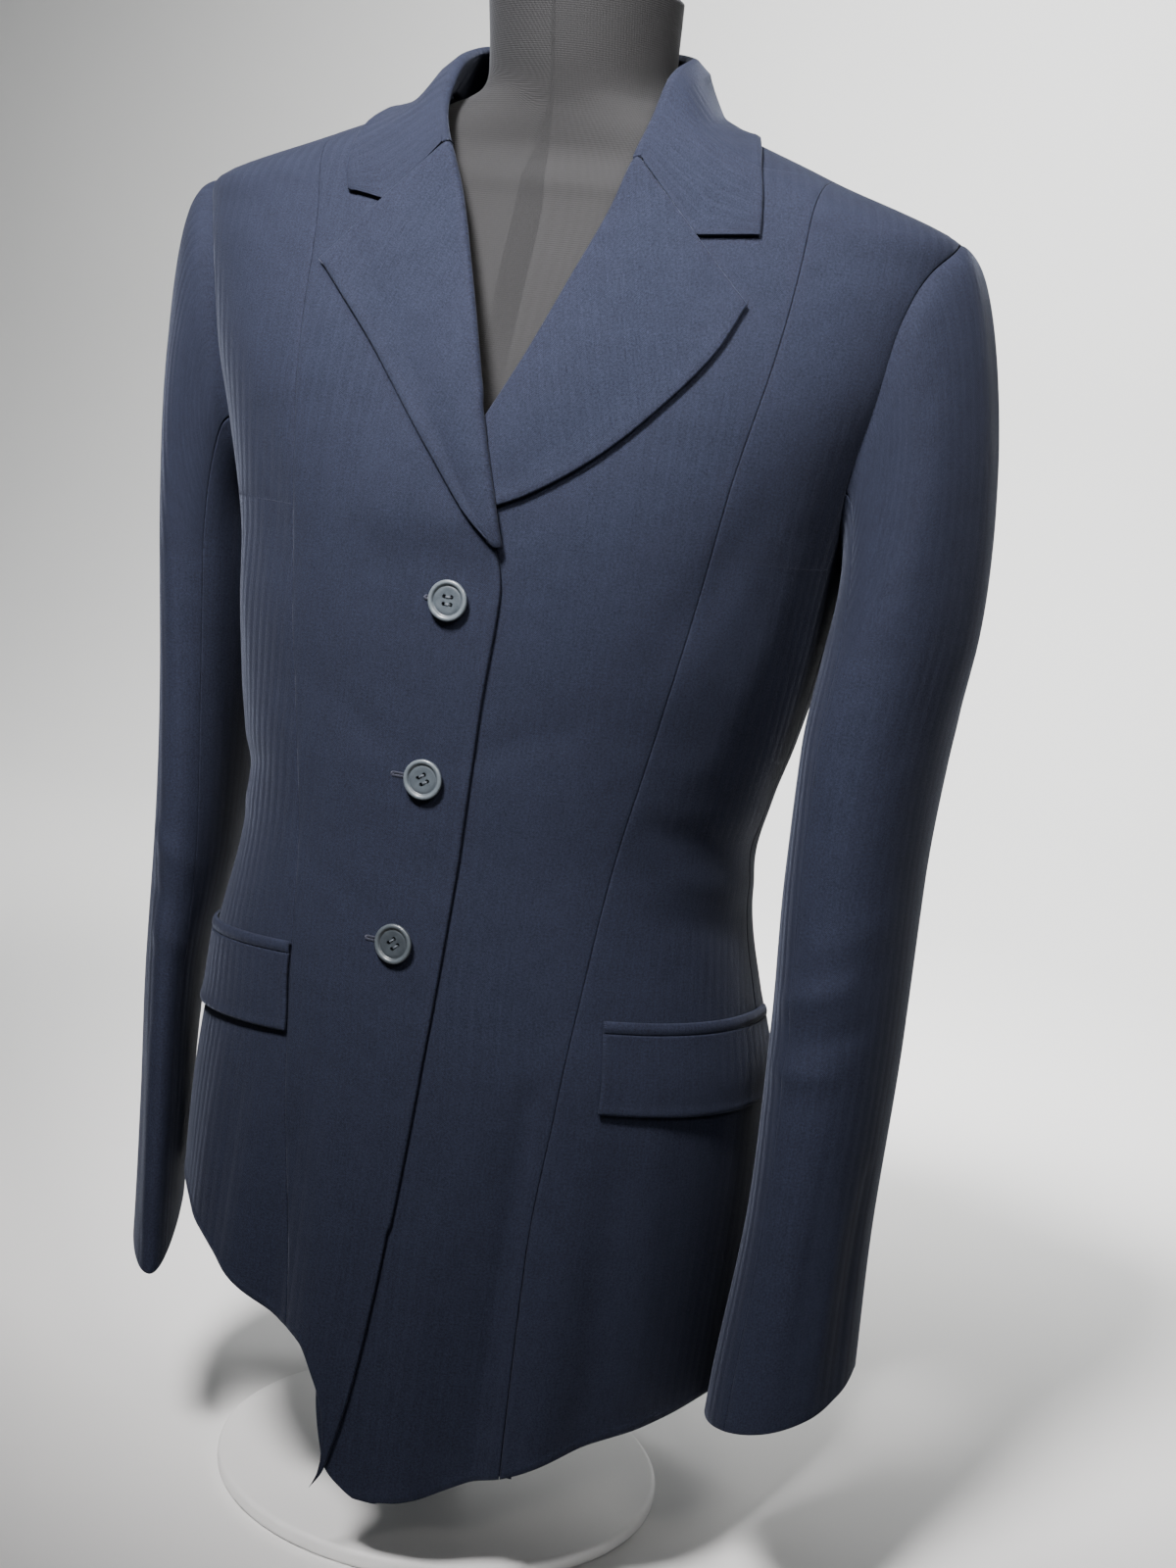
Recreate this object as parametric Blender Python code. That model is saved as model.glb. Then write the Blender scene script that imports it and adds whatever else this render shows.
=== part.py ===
# Hunt coat on a limbless dress form. Metres, +Z up, the coat's front faces -Y.
# The origin is on the floor under the middle of the base.
# The wearer's left is +X. The right front laps over the left front.
import math

import bmesh
import bpy
import numpy as np

# Driving dimensions
WALL = 0.002
SEAM_GAP = 0.0003
LAYER = WALL + SEAM_GAP
ARMHOLE_TOP = 0.731
ARMHOLE_BOTTOM = 0.560
ARMHOLE_FRONT = 0.053
ARMHOLE_BACK = 0.056
SKIRT_TOP = 0.200
FLAP_LENGTH = 0.135
WELT_WIDTH = 0.0055
BUTTON_RADIUS = 0.0105
BUTTON_THICKNESS = 0.0035
BUTTON_SHANK = 0.0007
BUTTON_HOLE_RADIUS = 0.0011
BUTTON_HOLE_SPACING = 0.0019
BUTTONS = {"button_top": (0.5238, 0.000), "button_middle": (0.432, -0.001), "button_bottom": (0.345, 0.004)}
BASE_RADIUS = 0.130
BASE_THICKNESS = 0.010
POST_RADIUS = 0.016
TORSO_BOTTOM = 0.140
TORSO_TOP = 0.845
NECK_CAP_TOP = 0.873
NECK_CAP_SHARE = 0.94
NECK_CAP_WALL = 0.35
NECK_CAP_TURNS = (0.35, 0.75, 1.15)
BASE_EDGE = 0.003
FLAP_LIFT = 0.003

# The right front's rise over the left front: heights where it climbs over the left lapel, heights over
# which it narrows and by how much, and how far out it is full and has faded
LAPEL_CLIMB = (0.537, 0.567)
LAPEL_CLEARANCE = 0.0012
RISE_NARROWS = (0.56, 0.66)
RISE_NARROWING = 0.025
RISE_FULL = 0.030
RISE_ENDS = 0.075

# The coat's inner surface below the shoulder tips: level superellipses
BODY_COLUMNS = ("height", "half_width", "front", "back", "roundness", "middle")
BODY_ROWS = (
    (0.020, 0.170, 0.146, 0.136, 2.2, 0.000),
    (0.100, 0.172, 0.143, 0.135, 2.2, 0.000),
    (0.150, 0.172, 0.140, 0.132, 2.2, 0.000),
    (0.220, 0.170, 0.136, 0.126, 2.2, 0.000),
    (0.280, 0.163, 0.133, 0.118, 2.2, 0.000),
    (0.320, 0.155, 0.130, 0.109, 2.2, -0.004),
    (0.360, 0.146, 0.127, 0.100, 2.2, -0.005),
    (0.395, 0.143, 0.125, 0.096, 2.2, -0.005),
    (0.430, 0.149, 0.125, 0.097, 2.2, -0.005),
    (0.460, 0.156, 0.125, 0.100, 2.2, -0.004),
    (0.500, 0.162, 0.126, 0.106, 2.3, -0.002),
    (0.550, 0.168, 0.125, 0.112, 2.4, 0.000),
    (0.600, 0.180, 0.118, 0.115, 2.6, 0.000),
    (0.650, 0.196, 0.103, 0.112, 2.8, 0.000),
    (0.690, 0.207, 0.087, 0.104, 2.8, -0.0015),
    (0.731, 0.214, 0.070, 0.088, 2.5, -0.003),
)

# The same above the shoulder tips, up to the neck
SHOULDER_ROWS = (
    (0.731, 0.214, 0.070, 0.088, 2.5, -0.003),
    (0.742, 0.185, 0.067, 0.083, 2.4, -0.0050),
    (0.753, 0.153, 0.064, 0.078, 2.3, -0.0070),
    (0.763, 0.1270, 0.060, 0.073, 2.2, -0.0075),
    (0.772, 0.1030, 0.054, 0.067, 2.1, -0.0080),
    (0.780, 0.0820, 0.048, 0.060, 2.0, -0.0080),
    (0.790, 0.0675, 0.042, 0.053, 2.0, -0.0080),
    (0.830, 0.060, 0.040, 0.050, 2.0, -0.008),
)

# Front edges and roll lines, outward from the centre line on the wearer's own side
EDGE_COLUMNS = ("height", "right", "left")
EDGE_ROWS = (
    (0.046, 0.019, 0.012),
    (0.050, 0.016, 0.004),
    (0.060, 0.010, -0.009),
    (0.075, 0.006, -0.015),
    (0.100, 0.001, -0.020),
    (0.140, -0.004, -0.022),
    (0.200, -0.009, -0.023),
    (0.280, -0.014, -0.023),
    (0.380, -0.018, -0.023),
    (0.470, -0.021, -0.023),
    (0.530, -0.025, -0.023),
    (0.560, -0.018, -0.019),
    (0.611, -0.001, 0.003),
    (0.650, 0.012, 0.019),
    (0.690, 0.028, 0.032),
    (0.725, 0.043, 0.043),
    (0.753, 0.057, 0.049),
    (0.770, 0.0670, 0.0550),
    (0.790, 0.0790, 0.0620),
)

# Princess seams, outward from the centre line on the wearer's own side
PRINCESS_COLUMNS = ("height", "right", "left")
PRINCESS_ROWS = (
    (0.020, 0.036, 0.082),
    (0.110, 0.043, 0.080),
    (0.200, 0.056, 0.079),
    (0.270, 0.066, 0.083),
    (0.330, 0.072, 0.086),
    (0.395, 0.079, 0.091),
    (0.460, 0.089, 0.103),
    (0.530, 0.099, 0.117),
    (0.596, 0.106, 0.127),
    (0.660, 0.115, 0.138),
    (0.710, 0.122, 0.141),
    (0.740, 0.131, 0.140),
    (0.760, 0.139, 0.138),
)

# The hem's height along the cloth, from the centre front round to the centre back
HEM_COLUMNS = ("along", "right", "left")
HEM_ROWS = (
    (0.000, 0.046, 0.050),
    (0.018, 0.048, 0.048),
    (0.022, 0.072, 0.048),
    (0.026, 0.094, 0.049),
    (0.031, 0.112, 0.050),
    (0.036, 0.125, 0.051),
    (0.050, 0.130, 0.056),
    (0.083, 0.144, 0.075),
    (0.120, 0.161, 0.092),
    (0.160, 0.172, 0.101),
    (0.250, 0.172, 0.106),
    (0.350, 0.150, 0.114),
    (0.500, 0.124, 0.124),
)

# Soft flares of the skirt: side, place along the hem, where each fades out, breadth and depth
FLARES = (
    (1, 0.062, 0.300, 0.016, -0.0050),
    (1, 0.098, 0.310, 0.020, 0.0060),
    (1, 0.210, 0.360, 0.042, -0.0065),
    (-1, 0.020, 0.280, 0.018, 0.0040),
    (-1, 0.056, 0.300, 0.014, -0.0070),
    (-1, 0.088, 0.300, 0.020, 0.0040),
    (-1, 0.190, 0.360, 0.050, -0.0090),
    (1, 0.330, 0.300, 0.026, 0.0050),
    (1, 0.400, 0.280, 0.024, -0.0040),
    (1, 0.455, 0.310, 0.022, 0.0060),
    (-1, 0.320, 0.290, 0.026, 0.0045),
    (-1, 0.395, 0.300, 0.024, -0.0040),
    (-1, 0.450, 0.270, 0.022, 0.0055),
)

# Sleeves below the cap: level rings that hang a little forward
SLEEVE_COLUMNS = ("height", "centre", "forward", "outer", "inner", "depth", "turn")
SLEEVE_ROWS = {
    "left": (
        (0.060, 0.2035, 0.046, 0.0390, 0.0370, 0.0420, 0.0),
        (0.120, 0.2045, 0.042, 0.0375, 0.0365, 0.0440, 0.0),
        (0.226, 0.2075, 0.034, 0.0310, 0.0330, 0.0480, 0.0),
        (0.320, 0.2055, 0.022, 0.0330, 0.0345, 0.0530, 0.0),
        (0.400, 0.2030, 0.013, 0.0330, 0.0370, 0.0560, 2.0),
        (0.465, 0.2020, 0.008, 0.0360, 0.0370, 0.0585, 3.0),
        (0.520, 0.2040, 0.004, 0.0400, 0.0345, 0.0600, 2.0),
    ),
    "right": (
        (0.060, 0.1790, 0.035, 0.0130, 0.0125, 0.0560, 25.0),
        (0.120, 0.1815, 0.033, 0.0130, 0.0125, 0.0565, 25.0),
        (0.200, 0.1860, 0.028, 0.0140, 0.0130, 0.0570, 24.0),
        (0.288, 0.1900, 0.020, 0.0175, 0.0150, 0.0570, 20.0),
        (0.350, 0.1880, 0.012, 0.0220, 0.0200, 0.0570, 13.0),
        (0.437, 0.1905, 0.004, 0.0230, 0.0235, 0.0580, 4.0),
        (0.520, 0.1968, 0.000, 0.0240, 0.0278, 0.0600, 0.0),
    ),
}
CAP_BOTTOM = 0.520
CUFF_COLUMNS = ("angle", "left", "right")
CUFF_ROWS = (
    (0.0, 0.141, 0.126),
    (90.0, 0.113, 0.114),
    (180.0, 0.103, 0.140),
    (270.0, 0.130, 0.145),
    (360.0, 0.141, 0.126),
)
SLEEVE_SEAM_FRONT = 120.0
SLEEVE_SEAM_BACK = 240.0

# Lapels and collar, outward from the centre line on the wearer's own side
LAPEL_EDGE_COLUMNS = ("share", "out", "height")
LAPEL_EDGE_ROWS = {
    "right": (
        (0.00, -0.017, 0.555),
        (0.20, -0.001, 0.569),
        (0.42, 0.022, 0.595),
        (0.65, 0.049, 0.624),
        (0.85, 0.076, 0.653),
        (1.00, 0.111, 0.686),
    ),
    "left": (
        (0.00, 0.003, 0.567),
        (0.20, 0.032, 0.580),
        (0.42, 0.064, 0.603),
        (0.65, 0.092, 0.633),
        (0.85, 0.111, 0.660),
        (1.00, 0.120, 0.684),
    ),
}
LAPEL_FOOT = {"right": 0.553, "left": 0.600}
ROLL_TURNS = {"right": (180.0, 155.0, 130.0, 105.0), "left": (215.0, 180.0, 140.0, 105.0)}
GORGE_TOP = {"right": (0.057, 0.753), "left": (0.049, 0.753)}
NOTCH_ON_GORGE = {"right": 0.49, "left": 0.54}
COLLAR_CORNER = {"right": (0.107, 0.7255), "left": (0.119, 0.720)}

# The dress form, drawn in from the coat's inner surface, with its neck above
FORM_COLUMNS = ("height", "half_width", "front", "back", "roundness", "middle")
FORM_ROWS = (
    (0.140, 0.120, 0.098, 0.092, 2.2, 0.000),
    (0.160, 0.142, 0.112, 0.106, 2.2, 0.000),
    (0.220, 0.150, 0.118, 0.110, 2.2, 0.000),
    (0.280, 0.146, 0.117, 0.104, 2.2, 0.000),
    (0.340, 0.132, 0.114, 0.092, 2.2, 0.000),
    (0.395, 0.122, 0.109, 0.084, 2.2, 0.000),
    (0.460, 0.134, 0.109, 0.087, 2.2, 0.000),
    (0.550, 0.150, 0.108, 0.097, 2.3, 0.000),
    (0.620, 0.160, 0.098, 0.098, 2.5, 0.000),
    (0.690, 0.172, 0.072, 0.088, 2.6, -0.0015),
    (0.731, 0.181, 0.056, 0.074, 2.5, -0.003),
    (0.742, 0.1750, 0.053, 0.069, 2.4, -0.0050),
    (0.753, 0.1500, 0.046, 0.060, 2.3, -0.0070),
    (0.763, 0.1242, 0.044, 0.055, 2.2, -0.0075),
    (0.772, 0.1000, 0.044, 0.050, 2.1, -0.0080),
    (0.780, 0.0780, 0.044, 0.046, 2.0, -0.0080),
    (0.790, 0.0560, 0.045, 0.043, 2.0, -0.0080),
    (0.805, 0.0515, 0.047, 0.042, 2.0, -0.009),
    (0.845, 0.0535, 0.050, 0.045, 2.0, -0.012),
)


class Table:
    """Rows with named columns, read between rows along a curve with no overshoot."""

    def __init__(self, columns, rows):
        self.columns = columns
        self.data = np.array(rows, dtype=float)
        self.key = self.data[:, 0]
        steps = np.diff(self.key)[:, None]
        slopes = np.diff(self.data, axis=0) / steps
        self.tangents = np.vstack([slopes[:1], (slopes[1:] + slopes[:-1]) / 2, slopes[-1:]])
        turning = slopes[1:] * slopes[:-1] <= 0
        self.tangents[1:-1][turning] = 0.0
        limit = 3 * np.minimum(np.abs(slopes[1:]), np.abs(slopes[:-1]))
        self.tangents[1:-1] = np.clip(self.tangents[1:-1], -limit, limit)

    def at(self, key, *names):
        key = min(max(key, self.key[0]), self.key[-1])
        row = min(int(np.searchsorted(self.key, key, side="right")) - 1, len(self.key) - 2)
        step = self.key[row + 1] - self.key[row]
        t = (key - self.key[row]) / step
        low, high = self.data[row], self.data[row + 1]
        value = (
            (2 * t**3 - 3 * t**2 + 1) * low
            + (t**3 - 2 * t**2 + t) * step * self.tangents[row]
            + (3 * t**2 - 2 * t**3) * high
            + (t**3 - t**2) * step * self.tangents[row + 1]
        )
        found = [float(value[self.columns.index(name)]) for name in names]
        return found[0] if len(found) == 1 else found


BODY = Table(BODY_COLUMNS, BODY_ROWS)
SHOULDER = Table(BODY_COLUMNS, SHOULDER_ROWS)
EDGE = Table(EDGE_COLUMNS, EDGE_ROWS)
PRINCESS = Table(PRINCESS_COLUMNS, PRINCESS_ROWS)
HEM = Table(HEM_COLUMNS, HEM_ROWS)
CUFF = Table(CUFF_COLUMNS, CUFF_ROWS)
FORM = Table(FORM_COLUMNS, FORM_ROWS)
SLEEVE = {side: Table(SLEEVE_COLUMNS, rows) for side, rows in SLEEVE_ROWS.items()}
LAPEL_EDGE = {side: Table(LAPEL_EDGE_COLUMNS, rows) for side, rows in LAPEL_EDGE_ROWS.items()}
SIGN = {"left": 1.0, "right": -1.0}


def smooth(low, high, value):
    t = min(max((value - low) / (high - low), 0.0), 1.0)
    return t * t * (3 - 2 * t)


def unit(vector):
    return vector / np.linalg.norm(vector)


def section(height):
    """Half width, front depth, back depth, roundness and middle of the coat at a height."""
    table = SHOULDER if height > ARMHOLE_TOP else BODY
    return table.at(height, *BODY_COLUMNS[1:])


# The coat's surface as one family of level rings

RING_SAMPLES = 241
RING_CROWDING = 0.12
ring_cache = {}


def half_ring(height):
    """Half of a level ring from centre front to centre back, with its length along the cloth."""
    key = round(height, 6)
    if key not in ring_cache:
        half_width, front, back, roundness, _ = section(height)
        turn = np.linspace(0.0, 1.0, RING_SAMPLES)
        angle = math.pi * turn - RING_CROWDING / 2 * np.sin(4 * math.pi * turn)
        power = 2 / roundness
        x = half_width * np.abs(np.sin(angle)) ** power
        depth = np.where(np.cos(angle) > 0, front, back)
        y = -np.sign(np.cos(angle)) * depth * np.abs(np.cos(angle)) ** power
        length = np.concatenate([[0.0], np.cumsum(np.hypot(np.diff(x), np.diff(y)))])
        ring_cache[key] = (x, y, length)
    return ring_cache[key]


def along_at_out(height, out, side):
    """Length along the cloth from the ring's front to a place on the front, given from x = 0."""
    half_width, front, _, roundness, middle = section(height)
    out = out - SIGN[side] * middle
    share = min(abs(out) / half_width, 1.0)
    y = -front * (1 - share**roundness) ** (1 / roundness)
    return math.copysign(along_at_depth(height, y), out)


def along_at_depth(height, y):
    _, ring_y, length = half_ring(height)
    return float(np.interp(y, ring_y, length))


def along_side(height):
    return along_at_depth(height, 0.0)


def along_back(height):
    return float(half_ring(height)[2][-1])


def flare(height, along, side):
    """How far the skirt's soft flares stand out of the plain surface."""
    total = 0.0
    for row in FLARES:
        flare_side, place, fades_at, breadth, depth = row
        if height < fades_at:
            distance = abs(along * side - place * flare_side)
            total += depth * smooth(fades_at, 0.08, height) * math.exp(-((distance / breadth) ** 2))
    return total


def normal_at(height, x, y):
    """Outward direction of the plain surface, from how the ring's size changes with height."""
    def size(px, py, pz):
        half_width, front, back, roundness, middle = section(pz)
        depth = front if py < 0 else back
        return (
            abs((px - middle) / half_width) ** roundness + abs(py / depth) ** roundness
        ) ** (1 / roundness)

    step = 1e-4
    grow = np.array([
        size(x + step, y, height) - size(x - step, y, height),
        size(x, y + step, height) - size(x, y - step, height),
        size(x, y, height + step) - size(x, y, height - step),
    ])
    return unit(grow)


def body_point(height, along, side, lift=0.0):
    """A point of the coat at a height and a length along the cloth, on one side of the front."""
    ring_x, ring_y, length = half_ring(height)
    middle = section(height)[4]
    reach = abs(along)
    x = float(np.interp(reach, length, ring_x)) * math.copysign(1.0, along) * side + middle
    y = float(np.interp(reach, length, ring_y))
    out = normal_at(height, x, y)
    return np.array([x, y, height]) + out * (lift + flare(height, along, side)), out


def front_point(height, out, side, lift):
    """A point on the front at a distance from the centre line, moved out of the surface."""
    return body_point(height, along_at_out(height, out, side), SIGN[side], lift)


# Solids

MATERIALS = {
    "navy_wool": ((0.035, 0.045, 0.075), 0.85, 0.0),
    "slate_horn": ((0.10, 0.12, 0.14), 0.40, 0.0),
    "black_jersey": ((0.012, 0.012, 0.014), 0.80, 0.0),
    "pale_metal": ((0.70, 0.70, 0.69), 0.35, 0.6),
}


def make_object(name, mesh, finish):
    colour, roughness, metallic = MATERIALS[finish]
    material = bpy.data.materials.new(name + "_" + finish)
    material.use_nodes = True
    shader = material.node_tree.nodes["Principled BSDF"]
    shader.inputs["Base Color"].default_value = (*colour, 1.0)
    shader.inputs["Roughness"].default_value = roughness
    shader.inputs["Metallic"].default_value = metallic
    mesh.materials.append(material)
    piece = bpy.data.objects.new(name, mesh)
    bpy.context.scene.collection.objects.link(piece)
    mesh.shade_smooth()
    mesh.set_sharp_from_angle(angle=math.radians(40))
    return piece


def finish_mesh(name, bm, finish):
    bmesh.ops.recalc_face_normals(bm, faces=bm.faces)
    if bm.calc_volume(signed=True) < 0:
        bmesh.ops.reverse_faces(bm, faces=bm.faces)
    mesh = bpy.data.meshes.new(name)
    bm.to_mesh(mesh)
    bm.free()
    return make_object(name, mesh, finish)


def cloth(name, outer, inner, finish="navy_wool"):
    """A closed wall between two grids of points that match row by row."""
    bm = bmesh.new()
    rows, columns = len(outer), len(outer[0])
    front, back = [[[bm.verts.new(point) for point in row] for row in grid] for grid in (outer, inner)]
    for j in range(rows - 1):
        for i in range(columns - 1):
            corners = [(j, i), (j, i + 1), (j + 1, i + 1), (j + 1, i)]
            rising = np.linalg.norm(outer[j][i] - outer[j + 1][i + 1])
            falling = np.linalg.norm(outer[j][i + 1] - outer[j + 1][i])
            if falling < rising:
                corners = corners[1:] + corners[:1]
            for a, b, c in ((0, 1, 2), (0, 2, 3)):
                face = [corners[a], corners[b], corners[c]]
                bm.faces.new([front[l][k] for l, k in face])
                bm.faces.new([back[l][k] for l, k in reversed(face)])
    rim = [(0, i) for i in range(columns)]
    rim += [(j, columns - 1) for j in range(1, rows)]
    rim += [(rows - 1, i) for i in range(columns - 2, -1, -1)]
    rim += [(j, 0) for j in range(rows - 2, 0, -1)]
    for (j, i), (l, k) in zip(rim, rim[1:] + rim[:1]):
        bm.faces.new((front[j][i], back[j][i], back[l][k], front[l][k]))
    return finish_mesh(name, bm, finish)


def lathe(name, profile, finish, centre=(0.0, 0.0, 0.0), segments=32):
    """A turned solid from a profile of (radius, height) that starts and ends on the axis."""
    bm = bmesh.new()
    rings = []
    for radius, height in profile:
        if radius == 0:
            rings.append([bm.verts.new((centre[0], centre[1], centre[2] + height))])
            continue
        ring = []
        for k in range(segments):
            angle = 2 * math.pi * k / segments
            ring.append(bm.verts.new((
                centre[0] + radius * math.cos(angle),
                centre[1] + radius * math.sin(angle),
                centre[2] + height,
            )))
        rings.append(ring)
    join_rings(bm, rings)
    return finish_mesh(name, bm, finish)


def join_rings(bm, rings):
    """Faces between rings; a ring of one point closes an end."""
    for low, high in zip(rings, rings[1:]):
        count = max(len(low), len(high))
        for k in range(count):
            after = (k + 1) % count
            if len(low) == 1:
                bm.faces.new((low[0], high[k], high[after]))
            elif len(high) == 1:
                bm.faces.new((low[k], high[0], low[after]))
            else:
                bm.faces.new((low[k], low[after], high[after], high[k]))


# Panels of the body

def front_lift(side, height, out):
    """The right front rises over the left front and its lapel where they overlap."""
    if side == "left":
        return 0.0
    over_lapel = smooth(*LAPEL_CLIMB, height)
    narrow = RISE_NARROWING * smooth(*RISE_NARROWS, height)
    overlap = smooth(RISE_ENDS - narrow, RISE_FULL - narrow, out)
    return overlap * (LAYER + SEAM_GAP + over_lapel * (LAYER + LAPEL_CLEARANCE))


def edge_along(side, height):
    return along_at_out(height, EDGE.at(height, side), side)


def princess_along(side, height):
    half_width, _, _, _, middle = section(height)
    out = PRINCESS.at(height, side)
    if out - SIGN[side] * middle >= half_width:
        return along_side(height)
    return along_at_out(height, out, side)


ARMHOLE_SQUARENESS = 2.5


def armhole_share(height):
    middle = (ARMHOLE_TOP + ARMHOLE_BOTTOM) / 2
    reach = (ARMHOLE_TOP - ARMHOLE_BOTTOM) / 2
    share = min(abs(height - middle) / reach, 1.0)
    return math.sqrt(1 - share**ARMHOLE_SQUARENESS)


def outer_along(height, toward):
    """Where a panel ends at the side: side seam, armhole, or shoulder seam."""
    if ARMHOLE_BOTTOM < height < ARMHOLE_TOP:
        depth = ARMHOLE_BACK if toward > 0 else ARMHOLE_FRONT
        return along_at_depth(height, toward * depth * armhole_share(height))
    return along_side(height)


def rows_between(low, high, count, ends=1.0):
    """Heights from low to high, closer together near both ends where ends is above 1."""
    shares = np.linspace(0.0, 1.0, count)
    eased = 0.5 - 0.5 * np.cos(math.pi * shares)
    blend = min(ends - 1.0, 1.0)
    return [low + (high - low) * ((1 - blend) * s + blend * e) for s, e in zip(shares, eased)]


def princess_top(side):
    """The height at which the princess seam reaches the shoulder seam."""
    low, high = ARMHOLE_TOP, NECK_POINT
    while high - low > 1e-6:
        height = (low + high) / 2
        half_width, _, _, _, middle = section(height)
        if PRINCESS.at(height, side) - SIGN[side] * middle >= half_width:
            high = height
        else:
            low = height
    return low


WAIST_ROWS = 11
ARMHOLE_ROWS = 10
SHOULDER_SHARES = (0.30, 0.58, 0.80, 0.94, 0.998)


def shoulder_rows(side):
    """Heights over the shoulder up to the princess seam's end, closer together towards it."""
    top = princess_top(side)
    return [ARMHOLE_TOP + (top - ARMHOLE_TOP) * share for share in SHOULDER_SHARES]


PANEL_FOOT = 0.10
SKIRT_ROWS = 6
SKIRT_ROW_EASE = 1.5


def panel(name, side, left, right, rows_above, columns, lift=None, top_rise=None):
    """A body panel between two seam lines, each a length along the cloth at a height."""
    outer, inner = [], []
    inset = SEAM_GAP / 2

    def ends(height):
        return left(height) + inset, right(height) - inset

    foot = ends(PANEL_FOOT)
    foot = (left(HEM_FOOT[name]) + inset, foot[1]) if name in HEM_FOOT else foot
    shares = np.linspace(0.0, 1.0, columns)
    grid = []
    for j in range(SKIRT_ROWS):
        t = (j / SKIRT_ROWS) ** SKIRT_ROW_EASE
        row = []
        for share in shares:
            hem = HEM.at(foot[0] + (foot[1] - foot[0]) * share, side)
            height = hem + (SKIRT_TOP - hem) * t
            low, high = ends(height)
            row.append((height, low + (high - low) * share))
        grid.append(row)
    rows = rows_between(SKIRT_TOP, ARMHOLE_BOTTOM, WAIST_ROWS)
    rows += rows_between(ARMHOLE_BOTTOM, ARMHOLE_TOP, ARMHOLE_ROWS, 2.0)[1:]
    for height in rows + rows_above:
        row = []
        for share in shares:
            level = height
            if top_rise and height > ARMHOLE_TOP:
                up = (height - ARMHOLE_TOP) / (NECK_POINT - ARMHOLE_TOP)
                level = height + up * top_rise(share)
            low, high = ends(level)
            row.append((level, low + (high - low) * share))
        grid.append(row)
    for row in grid:
        points = []
        for height, along in row:
            raised = lift(height, along) if lift else 0.0
            point, out = body_point(height, along, SIGN[side], raised)
            points.append((point + out * WALL, point))
        outer.append([p[0] for p in points])
        inner.append([p[1] for p in points])
    return cloth(name, outer, inner)


HEM_FOOT = {"front_right": 0.047, "front_left": 0.046}
NECK_POINT = 0.785
NECK_BACK_DROP = 0.011
FRONT_COLUMNS = 8
SIDE_COLUMNS = 7
BACK_COLUMNS = 8
NECK_ROWS = 4
SHOULDER_BACK_ROWS = 7


def make_body():
    for side in ("right", "left"):
        def lift(height, along, side=side):
            return front_lift(side, height, along)

        over_shoulder = shoulder_rows(side)
        panel(
            "front_" + side, side,
            lambda height, side=side: edge_along(side, height),
            lambda height, side=side: princess_along(side, height),
            over_shoulder + rows_between(over_shoulder[-1], NECK_POINT, NECK_ROWS)[1:], FRONT_COLUMNS, lift,
        )
        panel(
            "side_front_" + side, side,
            lambda height, side=side: princess_along(side, height),
            lambda height: outer_along(height, -1),
            over_shoulder, SIDE_COLUMNS,
            lift if side == "right" else None,
        )
        panel(
            "back_" + side, side,
            lambda height: outer_along(height, 1),
            along_back,
            rows_between(ARMHOLE_TOP, NECK_POINT, SHOULDER_BACK_ROWS)[1:], BACK_COLUMNS,
            top_rise=lambda share: -NECK_BACK_DROP * smooth(0.0, 0.7, share),
        )


# Sleeves: rows of the cap and the arm, and how the cap leaves the armhole: outward, sideways, down and
# pull, as weights at the armpit with their change up to the shoulder tip

CAP_STEPS = 7
ARM_STEPS = 12
UPPER_COLUMNS = 13
UNDER_COLUMNS = 7
CAP_AT_ARMPIT = (0.25, 0.15, 0.90, 0.60)
CAP_CHANGE = {"left": (0.10, 0.26, -0.22, -0.26), "right": (0.35, 0.58, -0.60, -0.20)}
ARM_PULL = 0.90
BELOW_CAP = 0.03
ANGLE_PROBE = 0.5
STEP_PROBE = 0.05


def armhole_point(angle, side):
    """The armhole's edge: 0 is the shoulder tip, 90 the front, 180 the armpit, 270 the back."""
    turn = math.radians(angle)
    middle = (ARMHOLE_TOP + ARMHOLE_BOTTOM) / 2
    reach = (ARMHOLE_TOP - ARMHOLE_BOTTOM) / 2
    height = middle + reach * math.cos(turn)
    toward = -1 if angle <= 180 else 1
    depth = ARMHOLE_BACK if toward > 0 else ARMHOLE_FRONT
    y = toward * depth * armhole_share(height)
    return body_point(height, along_at_depth(height, y), SIGN[side])


def sleeve_ring(height, angle, side):
    centre, forward, outer, inner, depth, turn = SLEEVE[side].at(height, *SLEEVE_COLUMNS[1:])
    a = math.radians(angle)
    across = (outer if math.cos(a) > 0 else inner) * math.cos(a)
    ahead = depth * math.sin(a)
    t = math.radians(turn)
    x = across * math.cos(t) - ahead * math.sin(t)
    y = -ahead * math.cos(t) - across * math.sin(t)
    return np.array([SIGN[side] * (centre + x), y - forward, height])


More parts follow.
